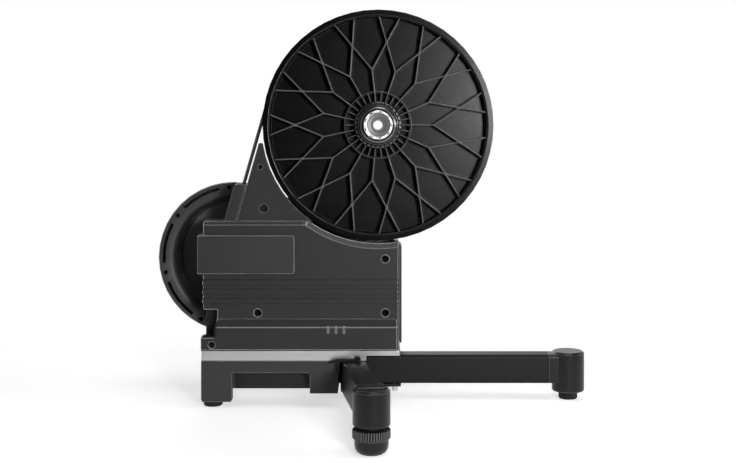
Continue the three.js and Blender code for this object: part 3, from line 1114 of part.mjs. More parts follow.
function sideLegTube() {
  const rootR = HALF_LEG;
  const plan = [
    ...arc([0, 0], rootR, Math.PI / 2, 3 * Math.PI / 2),
    [SEAM, -HALF_LEG], [SEAM, HALF_LEG],
  ];
  const side = alongY(sideProfile(0, -rootR, SEAM), -HALF_LEG, HALF_LEG);
  const body = alongZ(plan, LEG_LOW - CUT_OVERRUN, LEG_TOP + 2 * LEG_RISE).intersect(side);
  const hollow = alongY(sideProfile(LEG_WALL, rootR + LEG_WALL, SEAM + CUT_OVERRUN), -HALF_LEG + LEG_WALL,
    HALF_LEG - LEG_WALL);
  const bore = drum(PIVOT_BOLT_R + SEAT_GAP, LEG_LOW - CUT_OVERRUN, LEG_TOP + CUT_OVERRUN, 'z', [0, 0]);
  return cut(body, hollow, bore);
}

function sideFootHousing() {
  const from = SEAM + SEAT_GAP;
  const block = alongY(sideProfile(0, from, LEG_REACH), -HALF_LEG, HALF_LEG);
  const plug = alongY(sideProfile(LEG_WALL + SEAT_GAP, from - FOOT_PLUG, from + CUT_OVERRUN),
    -HALF_LEG + LEG_WALL + SEAT_GAP, HALF_LEG - LEG_WALL - SEAT_GAP);
  const post = footDrum(SIDE_FOOT_R, SIDE_FOOT_LOW, SIDE_FOOT_HIGH, [LEG_REACH, 0]);
  const collarSeat = drum(COLLAR_R + SEAT_GAP, SIDE_FOOT_LOW - CUT_OVERRUN, SIDE_FOOT_LOW + COLLAR_REACH, 'z',
    [LEG_REACH, 0]);
  const stemSeat = drum(STEM_R + SEAT_GAP, SIDE_FOOT_LOW - CUT_OVERRUN, STEM_TOP + RUN_GAP, 'z', [LEG_REACH, 0]);
  return cut(join(block, plug, post), collarSeat, stemSeat);
}

function adjusterRing() {
  const collarTop = SIDE_FOOT_LOW + COLLAR_REACH - SEAT_GAP;
  const grips = Array.from({ length: RING_FLUTES }, (_, i) => {
    const [from, to] = [i, i + RING_FLUTE_SHARE].map((share) => share * 2 * Math.PI / RING_FLUTES);
    return [
      ...arc([LEG_REACH, 0], RING_OUT_R - RING_FLUTE, from, from, 1).slice(1),
      ...arc([LEG_REACH, 0], RING_OUT_R, from, to, 1),
      ...arc([LEG_REACH, 0], RING_OUT_R - RING_FLUTE, to, to, 1).slice(1),
    ];
  });
  const bore = circle([LEG_REACH, 0], STEM_R + SEAT_GAP).reverse();
  const band = alongZ(grips.flat(), RING_LOW, RING_HIGH, [bore]);
  const collar = tube(STEM_R + SEAT_GAP, COLLAR_R, RING_HIGH - CUT_OVERRUN, collarTop, 'z', [LEG_REACH, 0]);
  return join(band, collar);
}

function levellingFoot() {
  const top = RING_LOW - SEAT_GAP;
  const dome = Array.from({ length: DOME_STEPS + 1 }, (_, i) => {
    const angle = -Math.PI / 2 + i * Math.PI / 2 / DOME_STEPS;
    const [spread, height] = [DOME_R - DOME_FLAT_R, top * DOME_SHARE];
    return [DOME_FLAT_R + spread * Math.cos(angle), height * (1 + Math.sin(angle))];
  });
  return turned([
    [0, 0], ...dome, [DOME_R, top], [STEM_R, top], [STEM_R, STEM_TOP], [0, STEM_TOP],
  ], 'z', [LEG_REACH, 0]);
}

function lockLever(side) {
  const out = side * (PLATE_HALF_WIDTH + LEVER_THICKNESS);
  const [from, to] = [Math.min(out, out + side * LEVER_THICKNESS), Math.max(out, out + side * LEVER_THICKNESS)];
  const low = LEVER_PIN_Z - LEVER_EYE_R;
  const eye = drum(LEVER_EYE_R, from, to, 'y', [LEVER_PIN_X, LEVER_PIN_Z]);
  const armEnd = PIVOT_X - HALF_LEG - SEAT_GAP;
  const arm = box([armEnd, LEVER_PIN_X], [from, to], [low, low + LEVER_BAR]);
  const prong = alongY([
    [armEnd - LEVER_BAR, low + LEVER_BAR], [armEnd - LEVER_BAR, LEVER_PRONG_LOW + LEVER_BAR],
    [armEnd - LEVER_BAR / 2, LEVER_PRONG_LOW], [armEnd, LEVER_PRONG_LOW + LEVER_BAR], [armEnd, low + LEVER_BAR],
  ], from, to);
  const wing = alongY([
    [armEnd - LEVER_BAR / 2, low], [armEnd - LEVER_BAR / 2, low + LEVER_BAR],
    [LEVER_TIP_X, low + LEVER_BAR - LEVER_DROP], [LEVER_TIP_X, low - LEVER_DROP],
  ], from, to);
  const bore = drum(LEVER_PIN_R + SEAT_GAP, from - CUT_OVERRUN, to + CUT_OVERRUN, 'y', [LEVER_PIN_X, LEVER_PIN_Z]);
  return cut(join(eye, arm, prong, wing), bore);
}

function leverPin(side) {
  const inner = side * (PLATE_HALF_WIDTH - PLATE_CORNER + SEAT_GAP);
  const shoulder = side * (PLATE_HALF_WIDTH + SEAT_GAP);
  const eyeStop = side * (PLATE_HALF_WIDTH + LEVER_THICKNESS - SEAT_GAP);
  const headIn = side * (PLATE_HALF_WIDTH + LEVER_PIN_OUT);
  const headOut = side * (PLATE_HALF_WIDTH + LEVER_PIN_OUT + LEVER_PIN_R / 2);
  return turned([
    [0, inner], [LEVER_PIN_R, inner], [LEVER_PIN_R, shoulder], [LEVER_EYE_R - SEAT_GAP, shoulder],
    [LEVER_EYE_R - SEAT_GAP, eyeStop], [LEVER_PIN_R, eyeStop], [LEVER_PIN_R, headIn], [LEVER_HEAD_R, headIn],
    [LEVER_HEAD_R, headOut], [0, headOut],
  ], 'y', [LEVER_PIN_X, LEVER_PIN_Z]);
}

for (const [place, side] of [['near', -1], ['far', 1]]) {
  const leg = new THREE.Group();
  leg.position.set(PIVOT_X, side * PIVOT_Y, 0);
  leg.rotation.z = side * (90 - LEG_LEAN) * RAD;
  leg.add(
    piece(`${place}_leg_tube`, sideLegTube(), FINISH.tube),
    piece(`${place}_leg_foot_housing`, sideFootHousing(), FINISH.housing),
    piece(`${place}_leg_adjuster_ring`, adjusterRing(), FINISH.rubber),
    piece(`${place}_leg_levelling_foot`, levellingFoot(), FINISH.housing),
  );
  trainer.add(leg);
  piece(`${place}_leg_pivot_bolt`, bolt(PIVOT_HEAD_R, PIVOT_BOLT_R, PLATE_STEP_Z - SEAT_GAP,
    [PIVOT_X, side * PIVOT_Y]), FINISH.steel);
  piece(`${place}_lock_lever`, lockLever(side), FINISH.tube);
  piece(`${place}_lock_lever_pin`, leverPin(side), FINISH.steel);
}

// Brake: a magnet carrier that slides in the flywheel's cup, on a rail, moved by a small motor

function brakeCarrier() {
  const [low, high] = [-BRAKE_HALF_SPAN * RAD, BRAKE_HALF_SPAN * RAD];
  const outline = [...arc(FLY, BRAKE_OUT_R, low, high), ...arc(FLY, BRAKE_IN_R, high, low)];
  const channel = box([FLY_X + BRAKE_IN_R / 2, FLY_X + BRAKE_OUT_R + CUT_OVERRUN],
    [BRAKE_FRONT - CUT_OVERRUN, BRAKE_RAIL_BACK + SEAT_GAP],
    [FLY_Z - BRAKE_RAIL_HALF - SEAT_GAP, FLY_Z + BRAKE_RAIL_HALF + SEAT_GAP]);
  return cut(alongY(outline, BRAKE_FRONT, BRAKE_BACK), channel);
}

const BRAKE_RAIL_BACK = (BRAKE_FRONT + BRAKE_BACK) / 2;
piece('brake_magnet_carrier', brakeCarrier(), FINISH.darkSteel);
piece('brake_rail', box([FLY_X + BRAKE_RAIL_FROM, FLY_X + BRAKE_RAIL_TO],
  [FRAME_BACK + SEAT_GAP, BRAKE_RAIL_BACK], [FLY_Z - BRAKE_RAIL_HALF, FLY_Z + BRAKE_RAIL_HALF]), FINISH.casting);
piece('brake_motor', turned([
  [0, FRAME_BACK + SEAT_GAP], [MOTOR_R, FRAME_BACK + SEAT_GAP], [MOTOR_R, MOTOR_BACK],
  [MOTOR_R / 3, MOTOR_BACK], [MOTOR_R / 3, MOTOR_BACK + MOTOR_R / 2], [0, MOTOR_BACK + MOTOR_R / 2],
], 'y', [FLY_X + MOTOR_X, FLY_Z + MOTOR_Z]), FINISH.darkSteel);

// The origin is the middle of the footprint on the floor.
const REAR_END = FLY_X - FLY_R;
const FRONT_END = FRONT_FOOT_X + FRONT_FOOT_R;
const group = new THREE.Group();
trainer.position.x = -(REAR_END + FRONT_END) / 2;
group.add(trainer);

export default group;
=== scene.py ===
"""Finishes, fine pieces, floor, light and camera of the direct drive bike trainer."""
import logging
import math
from dataclasses import dataclass, field
from enum import Enum
from typing import Any

import bpy
import numpy as np
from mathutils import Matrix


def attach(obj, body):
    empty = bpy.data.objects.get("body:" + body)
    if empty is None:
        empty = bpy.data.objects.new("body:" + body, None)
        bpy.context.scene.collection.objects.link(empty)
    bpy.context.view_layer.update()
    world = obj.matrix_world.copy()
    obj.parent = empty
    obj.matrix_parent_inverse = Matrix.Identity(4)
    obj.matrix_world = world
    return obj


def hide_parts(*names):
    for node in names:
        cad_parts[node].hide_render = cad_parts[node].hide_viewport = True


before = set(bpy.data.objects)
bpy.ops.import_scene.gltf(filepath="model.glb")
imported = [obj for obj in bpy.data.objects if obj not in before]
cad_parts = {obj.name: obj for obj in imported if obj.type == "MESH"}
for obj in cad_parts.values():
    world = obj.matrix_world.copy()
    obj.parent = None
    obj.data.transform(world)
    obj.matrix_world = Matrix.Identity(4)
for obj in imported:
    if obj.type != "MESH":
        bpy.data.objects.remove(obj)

log = logging.getLogger("trainer")

Array = np.ndarray
Material = bpy.types.Material
Colour = tuple[float, float, float]
Point = tuple[float, float, float]
Place = tuple[float, float]  # X and Z, or radius and Y, in millimetres
Window = tuple[float, float, float, float]  # left, right, low and high, in millimetres
Step = tuple[float, float]  # where a mask starts and is full, in millimetres
Span = tuple[float, float, float, float]  # a step, and where the mask fades and is gone

MM = 0.001
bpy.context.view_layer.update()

# Axes, in millimetres
HUB: Place = (10.3, 345.0)
FLY: Place = (-174.3, 175.6)
IDLER: Place = (-182.7, 214.6)
FOOT_AXIS: Place = (3.43, 251.93)  # X of a side leg's foot, and its distance from the middle plane

# Painted light and shade on the drive side of the housing, in millimetres
RIDGE_EDGES = (127.3, 133.5, 138.5, 144.7, 149.7, 155.9)  # heights of painted shadow lines at the ridges' edges
PLATE_GAP = 70.6  # height of the painted shadow line in the seam over the chassis plate
LEDGE = 98.9  # height of the painted highlight line along the ledge
LIP_BAND: Span = (145.0, 145.8, 150.4, 151.2)  # painted highlight band on the chamfered lip round the pulley, from the hub's axis
# Windows filled with painted shade: the base's recess, the side notch, and the shadow under the
# badge
BASE_RECESS: Window = (-167.5, -73.1, 5.0, 42.4)
SIDE_NOTCH: Window = (-206.8, -185.8, 86.5, 119.9)
BADGE_SHADOW: Window = (-209.0, -91.5, 161.9, 163.6)


# --- Colours ---

def grey(level: float, warmth: float = 0.0) -> Colour:
    """Linear colour of a neutral grey.

    Args:
        level: brightness as written in a picture, from 0 to 255.
        warmth: how many steps red stands above it and blue below it.

    Returns:
        Linear red, green and blue.
    """
    steps = np.array([level + warmth, level, level - warmth]) / 255.0
    linear = np.where(steps <= 0.04045, steps / 12.92, ((steps + 0.055) / 1.055) ** 2.4)
    return tuple(float(part) for part in linear)


# --- Shader maths ---

RAYS = 6  # samples of an ambient occlusion or bevel node
EDGE_TURN = (0.01, 0.1)  # how far an edge's normal turns where its painted highlight starts and is full
EDGE_SKY = (0.55, 0.9)  # how open an edge lies where its painted highlight starts and is full
WINDOW_FADE = 0.3  # border of a window, in millimetres


class Signal:
    """An output socket that can stand in a Python expression."""

    def __init__(self, shade: "Shade", socket: bpy.types.NodeSocket) -> None:
        """Keeps the socket and the tree that it belongs to."""
        self.shade = shade
        self.socket = socket

    def __add__(self, other: Any) -> "Signal":
        """Sum."""
        return self.shade.math("ADD", self, other)

    __radd__ = __add__

    def __mul__(self, other: Any) -> "Signal":
        """Product."""
        return self.shade.math("MULTIPLY", self, other)

    __rmul__ = __mul__

    def __sub__(self, other: Any) -> "Signal":
        """Difference."""
        return self.shade.math("SUBTRACT", self, other)

    def __rsub__(self, other: Any) -> "Signal":
        """Difference with this signal taken away."""
        return self.shade.math("SUBTRACT", other, self)

    def __pow__(self, other: Any) -> "Signal":
        """Power."""
        return self.shade.math("POWER", self, other)

    def __abs__(self) -> "Signal":
        """Distance from zero."""
        return self.shade.math("ABSOLUTE", self)

    def swing(self, spread: float) -> "Signal":
        """A value from 0 to 1, made to swing round zero by a whole spread."""
        return (self - 0.5) * spread


class Shade:
    """The node tree of one material, written as expressions."""

    def __init__(self, name: str = "", tree: bpy.types.NodeTree | None = None) -> None:
        """Empties a tree that exists, or starts one for a new material."""
        self.material = None
        if tree is None:
            self.material = bpy.data.materials.new(name)
            self.material.use_nodes = True
            tree = self.material.node_tree
        self.tree = tree
        tree.nodes.clear()

    def node(self, kind: str, sockets: dict[Any, Any] | None = None,
             **settings: Any) -> bpy.types.Node:
        """Adds a node.

        Args:
            kind: the node's type.
            sockets: values, signals or nodes for its input sockets, by name or number.
            settings: its own settings, set first.

        Returns:
            The node.
        """
        made = self.tree.nodes.new(kind)
        for key, value in settings.items():
            setattr(made, key, value)
        for key, value in (sockets or {}).items():
            target = made.inputs[key]
            if isinstance(value, Signal):
                self.tree.links.new(value.socket, target)
            elif isinstance(value, bpy.types.Node):
                self.tree.links.new(value.outputs[0], target)
            elif isinstance(value, tuple) and len(value) == 3 and target.type == "RGBA":
                target.default_value = (*value, 1.0)
            else:
                target.default_value = value
        return made

    def value(self, kind: str, sockets: dict[Any, Any] | None = None, output: Any = 0,
              **settings: Any) -> Signal:
        """Adds a node and gives one of its outputs, by name or number."""
        return Signal(self, self.node(kind, sockets, **settings).outputs[output])

    def math(self, operation: str, *values: Any) -> Signal:
        """A Math node on values or signals."""
        return self.value("ShaderNodeMath", dict(enumerate(values)), operation=operation)

    def place(self, centre: Any = (0, 0, 0), stretch: Any = (1, 1, 1)) -> Signal:
        """Object coordinates, moved to a centre and stretched, with places in metres."""
        return self.value("ShaderNodeMapping", {
            "Vector": self.value("ShaderNodeTexCoord", output="Object"),
            "Location": tuple(-c * s for c, s in zip(centre, stretch)), "Scale": stretch})

    def parts(self, vector: Signal) -> list[Signal]:
        """The three numbers of a vector."""
        made = self.node("ShaderNodeSeparateXYZ", {0: vector})
        return [Signal(self, output) for output in made.outputs]

    def noise(self, scale: float, detail: float = 3.0, stretch: Any = (1, 1, 1),
              rough: float = 0.5) -> Signal:
        """Fractal noise from 0 to 1 at a number of cells per metre."""
        return self.value("ShaderNodeTexNoise", {
            "Vector": self.place(stretch=stretch), "Scale": scale, "Detail": detail,
            "Roughness": rough}, noise_dimensions="3D")

    def rings(self, track: Signal) -> Signal:
        """Noise from 0 to 1 along a track, for the rings that a turning tool leaves."""
        return self.value("ShaderNodeTexNoise", {"W": track, "Scale": 1.0, "Detail": 2.0},
                          noise_dimensions="1D")

    def cells(self, scale: float) -> Signal:
        """Distance to the nearest of scattered points, for leathery grain."""
        return self.value("ShaderNodeTexVoronoi", {"Vector": self.place(), "Scale": scale},
                          "Distance", feature="F1")

    def radius(self, axis: Place) -> Signal:
        """Distance in metres from an axis along Y."""
        across, _, up = self.parts(self.place((axis[0] * MM, 0, axis[1] * MM)))
        return (across * across + up * up) ** 0.5

    def ramp(self, value: Signal, low: float, high: float, start: float = 0.0,
             end: float = 1.0) -> Signal:
        """Smooth step of a value from one level to another."""
        return self.value("ShaderNodeMapRange", {
            "Value": value, "From Min": low, "From Max": high, "To Min": start, "To Max": end},
            interpolation_type="SMOOTHSTEP")

    def mask(self, distance: Signal, levels: Step | Span) -> Signal:
        """One past a step of a distance in metres, or between the two steps of a span."""
        made = self.ramp(distance, levels[0] * MM, levels[1] * MM)
        if len(levels) == 4:
            made = made * self.ramp(distance, levels[2] * MM, levels[3] * MM, 1.0, 0.0)
        return made

    def blend(self, share: Any, first: Any, second: Any) -> Signal:
        """Colour mix."""
        return self.value("ShaderNodeMix", {0: share, 6: first, 7: second}, 2, data_type="RGBA")

    def tint(self, colour: Colour, low: float, high: float, share: Signal) -> Signal:
        """A colour between two strengths of itself."""
        return self.blend(share, tuple(low * c for c in colour), tuple(high * c for c in colour))

    def open_sky(self, distance: float) -> Signal:
        """One in the open, towards 0 within a distance in millimetres of other walls."""
        return self.value("ShaderNodeAmbientOcclusion", {"Distance": distance * MM}, "AO",
                          samples=RAYS, only_local=True)

    def painted_edge_highlight(self, radius: float) -> Signal:
        """Mask of a painted edge highlight, one on an outer edge: how far a rounded normal turns
        from the face's own, in the open.
        """
        rounded = self.node("ShaderNodeBevel", {"Radius": radius * MM}, samples=RAYS)
        own = self.value("ShaderNodeNewGeometry", output="True Normal")
        same = self.value("ShaderNodeVectorMath", {0: rounded, 1: own}, "Value",
                          operation="DOT_PRODUCT")
        return (self.ramp(1 - same, *EDGE_TURN)
                * self.ramp(self.open_sky(radius * 2), *EDGE_SKY))

    def window(self, box: Window) -> Signal:
        """One inside a window seen square on, fading along its border."""
        across, _, up = self.parts(self.place())
        wide, tall = ((low, low + WINDOW_FADE, high - WINDOW_FADE, high)
                      for low, high in (box[:2], box[2:]))
        return self.mask(across, wide) * self.mask(up, tall)

    def lines(self, levels: tuple[float, ...], half: float) -> Signal:
        """One near any of some heights, fading to 0.

        Args:
            levels: the heights, in millimetres.
            half: half the width of a line, in millimetres.
        """
        _, _, up = self.parts(self.place())
        nearest, *others = [abs(up - level * MM) for level in levels]
        for gap in others:
            nearest = self.math("MINIMUM", nearest, gap)
        return self.ramp(nearest, half * 0.5 * MM, half * 1.5 * MM, 1.0, 0.0)

    def relief(self, height: Signal, depth: float = 0.02, strength: float = 0.4) -> Signal:
        """Bump from a height between 0 and 1, its full depth in millimetres."""
        return self.value("ShaderNodeBump", {"Height": height, "Distance": depth * MM,
                                             "Strength": strength})

    def mix(self, share: Any, first: bpy.types.Node, second: bpy.types.Node) -> bpy.types.Node:
        """Mix of two shaders."""
        return self.node("ShaderNodeMixShader", {0: share, 1: first, 2: second})

    def seen(self, mirrored: Signal) -> Signal:
        """One for camera and glass rays, and a share for those that come from a mirror."""
        camera, glass, mirror = (
            self.value("ShaderNodeLightPath", output=f"Is {ray} Ray")
            for ray in ("Camera", "Transmission", "Glossy"))
        return self.math("MAXIMUM", self.math("MAXIMUM", camera, glass), mirror * mirrored)


# --- Finishes ---

@dataclass(frozen=True)
class Finish:
    """A finish: its name, colour, and the plain numbers of its shader."""

    name: str
    colour: Colour
    roughness: float
    metallic: float = 0.0
    specular: float = 0.5

    def material(self) -> Material:
        """The finish as a material."""
        raise NotImplementedError

    def surface(self, shade: Shade, colour: Signal, gloss: Signal, relief: Signal,
                extra: dict[str, Any] | None = None) -> Material:
        """Closes a material with its Principled shader.

        Args:
            shade: the material's tree.
            colour: its base colour.
            gloss: what is added to its roughness.
            relief: its bumped normal.
            extra: other inputs, by name.

        Returns:
            The material.
        """
        inputs = {"Base Color": colour, "Roughness": self.roughness + gloss, "Normal": relief,
                  "Metallic": self.metallic, "Specular IOR Level": self.specular, **(extra or {})}
        shade.node("ShaderNodeOutputMaterial",
                   {"Surface": shade.node("ShaderNodeBsdfPrincipled", inputs)})
        return shade.material


@dataclass(frozen=True)
class MouldedPlastic(Finish):
    """Injection moulded plastic with an eroded grain, painted shade in its hollows and painted
    highlights on its edges.

    Two lists of heights are drawn as painted shadow lines and painted highlight lines, listed
    windows are filled with painted shade, and the lip carries a painted highlight band round the
    hub's axis.
    """

    specular: float = 0.45
    depth: float = 0.05
    # Painted light and shade, in order: reach of the shade in hollows in millimetres; greys of edge
    # highlights, of hollow shade and shadow lines, of shade windows and of the lip's highlight;
    # heights of shadow lines and of highlight lines; shade windows; the lip's highlight band.
    hollow: float = 5.0
    edge: float = 150.0  # greys, from 0 to 255
    shade_black: float = 4.0
    shade_patch: float = 2.0
    lip_highlight: float = 92.0
    shadow_lines: tuple[float, ...] = ()
    highlight_lines: tuple[float, ...] = ()
    shade_patches: tuple[Window, ...] = ()
    lip: Span | None = None
    grain: float = 2600.0  # cells per metre
    sky: tuple[float, float] = (0.4, 0.97)  # how open a spot lies where the painted shade is full and where it is gone
    # width of the painted edge highlight, and half widths of the painted highlight and shadow
    # lines, in millimetres
    edge_highlight_width: float = 1.7
    highlight_line_half: float = 0.6
    shadow_line_half: float = 0.9

    def painted_light_marks(self, shade: Shade) -> list[tuple[Signal, float, float]]:
        """Mask, strength and grey of every painted highlight and painted shadow mark, in the order
        in which they are laid on.
        """
        made = []
        if self.highlight_lines:
            made.append((shade.lines(self.highlight_lines, self.highlight_line_half), 0.38, self.edge))
        if self.lip:
            made.append((shade.mask(shade.radius(HUB), self.lip), 0.6, self.lip_highlight))
        # Painted highlight on every open outer edge.
        made.append((shade.painted_edge_highlight(self.edge_highlight_width), 1.0, self.edge))
        if self.shadow_lines:
            made.append((shade.lines(self.shadow_lines, self.shadow_line_half), 0.95, self.shade_black))
        return made + [(shade.window(shade_patch), 0.92, self.shade_patch) for shade_patch in self.shade_patches]

    def material(self) -> Material:
        """Grain from scattered cells and noise; slow noise moves colour and gloss; painted shade
        and painted highlights are laid over the colour.
        """
        shade = Shade(self.name)
        slow = shade.noise(14.0, 2.0)
        fine = shade.noise(self.grain, 2.0)
        grain = shade.cells(self.grain) * 0.6 + fine * 0.4
        skin = shade.tint(self.colour, 0.86, 1.14, slow * 0.6 + fine * 0.4)
        # Painted shade: toward the shade grey where ambient occlusion finds walls nearby.
        bare = shade.ramp(shade.open_sky(self.hollow), *self.sky)
        colour = shade.blend(bare, grey(self.shade_black), skin)
        # Painted highlights and painted shadow, mark by mark.
        for mask, strength, level in self.painted_light_marks(shade):
            colour = shade.blend(mask * strength, colour, grey(level))
        return self.surface(shade, colour, slow.swing(0.12) + fine.swing(0.1),
                            shade.relief(grain, self.depth, 0.5))


@dataclass(frozen=True)
class PaintedMetal(Finish):
    """Powder coat: a soft orange-peel skin over metal."""

    coat: float = 0.15

    def material(self) -> Material:
        """Orange peel from two sizes of noise; colour and gloss move slowly."""
        shade = Shade(self.name)
        slow = shade.noise(10.0, 3.0)
        peel = shade.noise(900.0, 2.0) * 0.7 + shade.noise(2700.0, 1.0) * 0.3
        colour = shade.tint(self.colour, 0.88, 1.12, slow)
        return self.surface(shade, colour, slow.swing(0.12) + peel.swing(0.06),
                            shade.relief(peel, 0.04, 0.5), {"Coat Weight": self.coat})


@dataclass(frozen=True)
class BrushedMetal(Finish):
    """Bare metal brushed along X."""

    metallic: float = 1.0

    def material(self) -> Material:
        """Long thin noise makes the brush lines in colour, gloss and relief."""
        shade = Shade(self.name)
        lines = shade.noise(1.0, 4.0, (6.0, 900.0, 900.0), 0.7)
        slow = shade.noise(9.0, 2.0)
        colour = shade.tint(self.colour, 0.84, 1.1, lines * 0.7 + slow * 0.3)
        return self.surface(shade, colour, lines.swing(0.2) + slow.swing(0.08),
                            shade.relief(lines))


@dataclass(frozen=True)
class TurnedMetal(Finish):
    """Metal turned about the hub's axis, with the tool's fine rings."""

    metallic: float = 1.0

    def material(self) -> Material:
        """Noise of the distance from the axis and along it makes the rings."""
        shade = Shade(self.name)
        _, along, _ = shade.parts(shade.place())
        rings = shade.rings(shade.radius(HUB) * 3200.0 + along * 2240.0)
        slow = shade.noise(30.0, 2.0)
        colour = shade.tint(self.colour, 0.82, 1.1, rings * 0.6 + slow * 0.4)
        return self.surface(shade, colour, rings.swing(0.15) + slow.swing(0.06),
                            shade.relief(rings))


@dataclass(frozen=True)
class PlainSteel(Finish):
    """Small bright steel parts with a fine random grain."""

    metallic: float = 1.0

    def material(self) -> Material:
        """Fine noise in colour and gloss."""
        shade = Shade(self.name)
        fine = shade.noise(1800.0, 3.0)
        slow = shade.noise(60.0, 2.0)
        colour = shade.tint(self.colour, 0.85, 1.1, fine * 0.5 + slow * 0.5)
        return self.surface(shade, colour, fine.swing(0.12) + slow.swing(0.1), shade.relief(fine))


@dataclass(frozen=True)
class Rubber(Finish):
    """Matt rubber with a talc bloom."""

    specular: float = 0.35

    def material(self) -> Material:
        """Two noises for skin and bloom."""
        shade = Shade(self.name)
        skin = shade.noise(1500.0, 3.0)
        bloom = shade.ramp(shade.noise(45.0, 4.0), 0.45, 0.75)
        colour = shade.tint(self.colour, 1.0, 1.5, bloom)
        return self.surface(shade, colour, skin.swing(0.12) + bloom * 0.05,
                            shade.relief(skin, 0.06, 0.6))


@dataclass(frozen=True)
class GripRubber(Finish):
    """Hard rubber whose flutes carry a painted highlight on their crests."""

    specular: float = 0.35
    crest: Step = (19.7, 20.2)  # distance from the foot's own axis
    # grey of the painted highlight on the crests
    crest_highlight: Colour = grey(110)

    def material(self) -> Material:
        """Dark between the crests, with a painted highlight where the distance from the foot's own
        axis is greatest.
        """
        shade = Shade(self.name)
        across, along, _ = shade.parts(shade.place())
        aside, forward = across - FOOT_AXIS[0] * MM, abs(along) - FOOT_AXIS[1] * MM
        radius = (aside * aside + forward * forward) ** 0.5
        skin = shade.noise(1500.0, 3.0)
        colour = shade.blend(shade.mask(radius, self.crest),
                             shade.tint(self.colour, 0.8, 1.3, skin), self.crest_highlight)
        return self.surface(shade, colour, skin.swing(0.12), shade.relief(skin, 0.06, 0.6))


@dataclass(frozen=True)
class CastFlywheel(Finish):
    """Dark coated cast iron, machined on its land, pale on its outer corner, with painted light and
    shade in its cup and painted shade in its slots.
    """

    land: Step = (78.8, 79.4)  # distances from the axis
    corner: Step = (95.0, 95.6)
    slots: Span = (86.0, 86.5, 92.8, 93.3)
    slot_depth: Step = (20.0, 20.4)  # places along Y
    # Painted light and shade in the cup: darker near its mouth, lighter deep in where the housing
    # shades it
    cup_depth: Step = (26.0, 50.0)
    # grey of the pale outer corner
    bare: Colour = grey(176)
    # grey of the painted shade in the slots
    shade_black: Colour = grey(1)

    def material(self) -> Material:
        """Distance from the axis and place along it tell cup, land, corner and slots apart."""
        shade = Shade(self.name)
        radius = shade.radius(FLY)
        rings = shade.rings(radius * 2600.0)
        cast = shade.noise(420.0, 4.0)
        slow = shade.noise(16.0, 2.0)
        _, along, _ = shade.parts(shade.place())
        land = shade.mask(radius, self.land)
        corner = shade.mask(radius, self.corner)
        # Painted light and shade: the cup is darker near its mouth and lighter deep in.
        cup = shade.blend(shade.mask(along, self.cup_depth),
                          shade.tint(self.colour, 0.62, 0.75, slow),
                          shade.tint(self.colour, 1.8, 2.3, slow))
        flat = shade.tint(self.colour, 0.9, 1.12, slow * 0.5 + rings * 0.5)
        colour = shade.blend(corner * 0.9, shade.blend(land, cup, flat), self.bare)
        # Painted shade in the slots.
        slot = shade.mask(along, self.slot_depth) * shade.mask(radius, self.slots)
        colour = shade.blend(slot, colour, self.shade_black)
        gloss = slot * 0.4 + 0.12 * (1 - land) + slow.swing(0.1) - corner * 0.1
        height = shade.value("ShaderNodeMix", {0: land, 2: cast, 3: rings}, data_type="FLOAT")
        return self.surface(shade, colour, gloss, shade.relief(height, 0.05, 0.5),
                            {"Metallic": corner * 0.2 + 0.15})


@dataclass(frozen=True)
class PulleyPlastic(Finish):
    """Glass-filled nylon of the drive pulley: satin web, rough inner wall, smoother rim."""

    rim: Step = (133.5, 134.5)  # distances from the axis
    wall: Span = (131.8, 132.4, 134.8, 135.2)

    def material(self) -> Material:
        """Fine grain over slow clouds; the distance from the axis tells wall and rim."""
        shade = Shade(self.name)
        radius = shade.radius(HUB)
        fine = shade.noise(1900.0, 3.0)
        slow = shade.noise(22.0, 3.0)
        colour = shade.tint(self.colour, 0.8, 1.2, slow * 0.5 + fine * 0.5)
        gloss = (fine.swing(0.16) + slow.swing(0.1) - shade.mask(radius, self.rim) * 0.06
                 + shade.mask(radius, self.wall) * 0.5)
        return self.surface(shade, colour, gloss, shade.relief(fine, strength=0.1))


@dataclass(frozen=True)
class LightGuide(Finish):
    """Milky light guide, with its lamps off."""

    def material(self) -> Material:
        """Clouds in colour, gloss and relief."""
        shade = Shade(self.name)
        cloud = shade.noise(600.0, 2.0)
        colour = shade.tint(self.colour, 0.85, 1.0, cloud)
        return self.surface(shade, colour, cloud.swing(0.1), shade.relief(cloud, 0.03))


@dataclass(frozen=True)
class CircuitBoard(Finish):
    """Lacquered board with fine copper tracks."""

    copper: Colour = grey(120, 20)

    def material(self) -> Material:
        """Stripes bent by noise stand for the tracks."""
        shade = Shade(self.name)
        tracks = shade.value("ShaderNodeTexWave", {
            "Vector": shade.place(), "Scale": 300.0, "Distortion": 4.0}, wave_type="BANDS")
        share = shade.ramp(tracks, 0.6, 0.7)
        colour = shade.blend(share * 0.5, self.colour, self.copper)
        return self.surface(shade, colour, share * 0.1, shade.relief(share, 0.04, 0.5))


# --- Surfaces from arrays ---

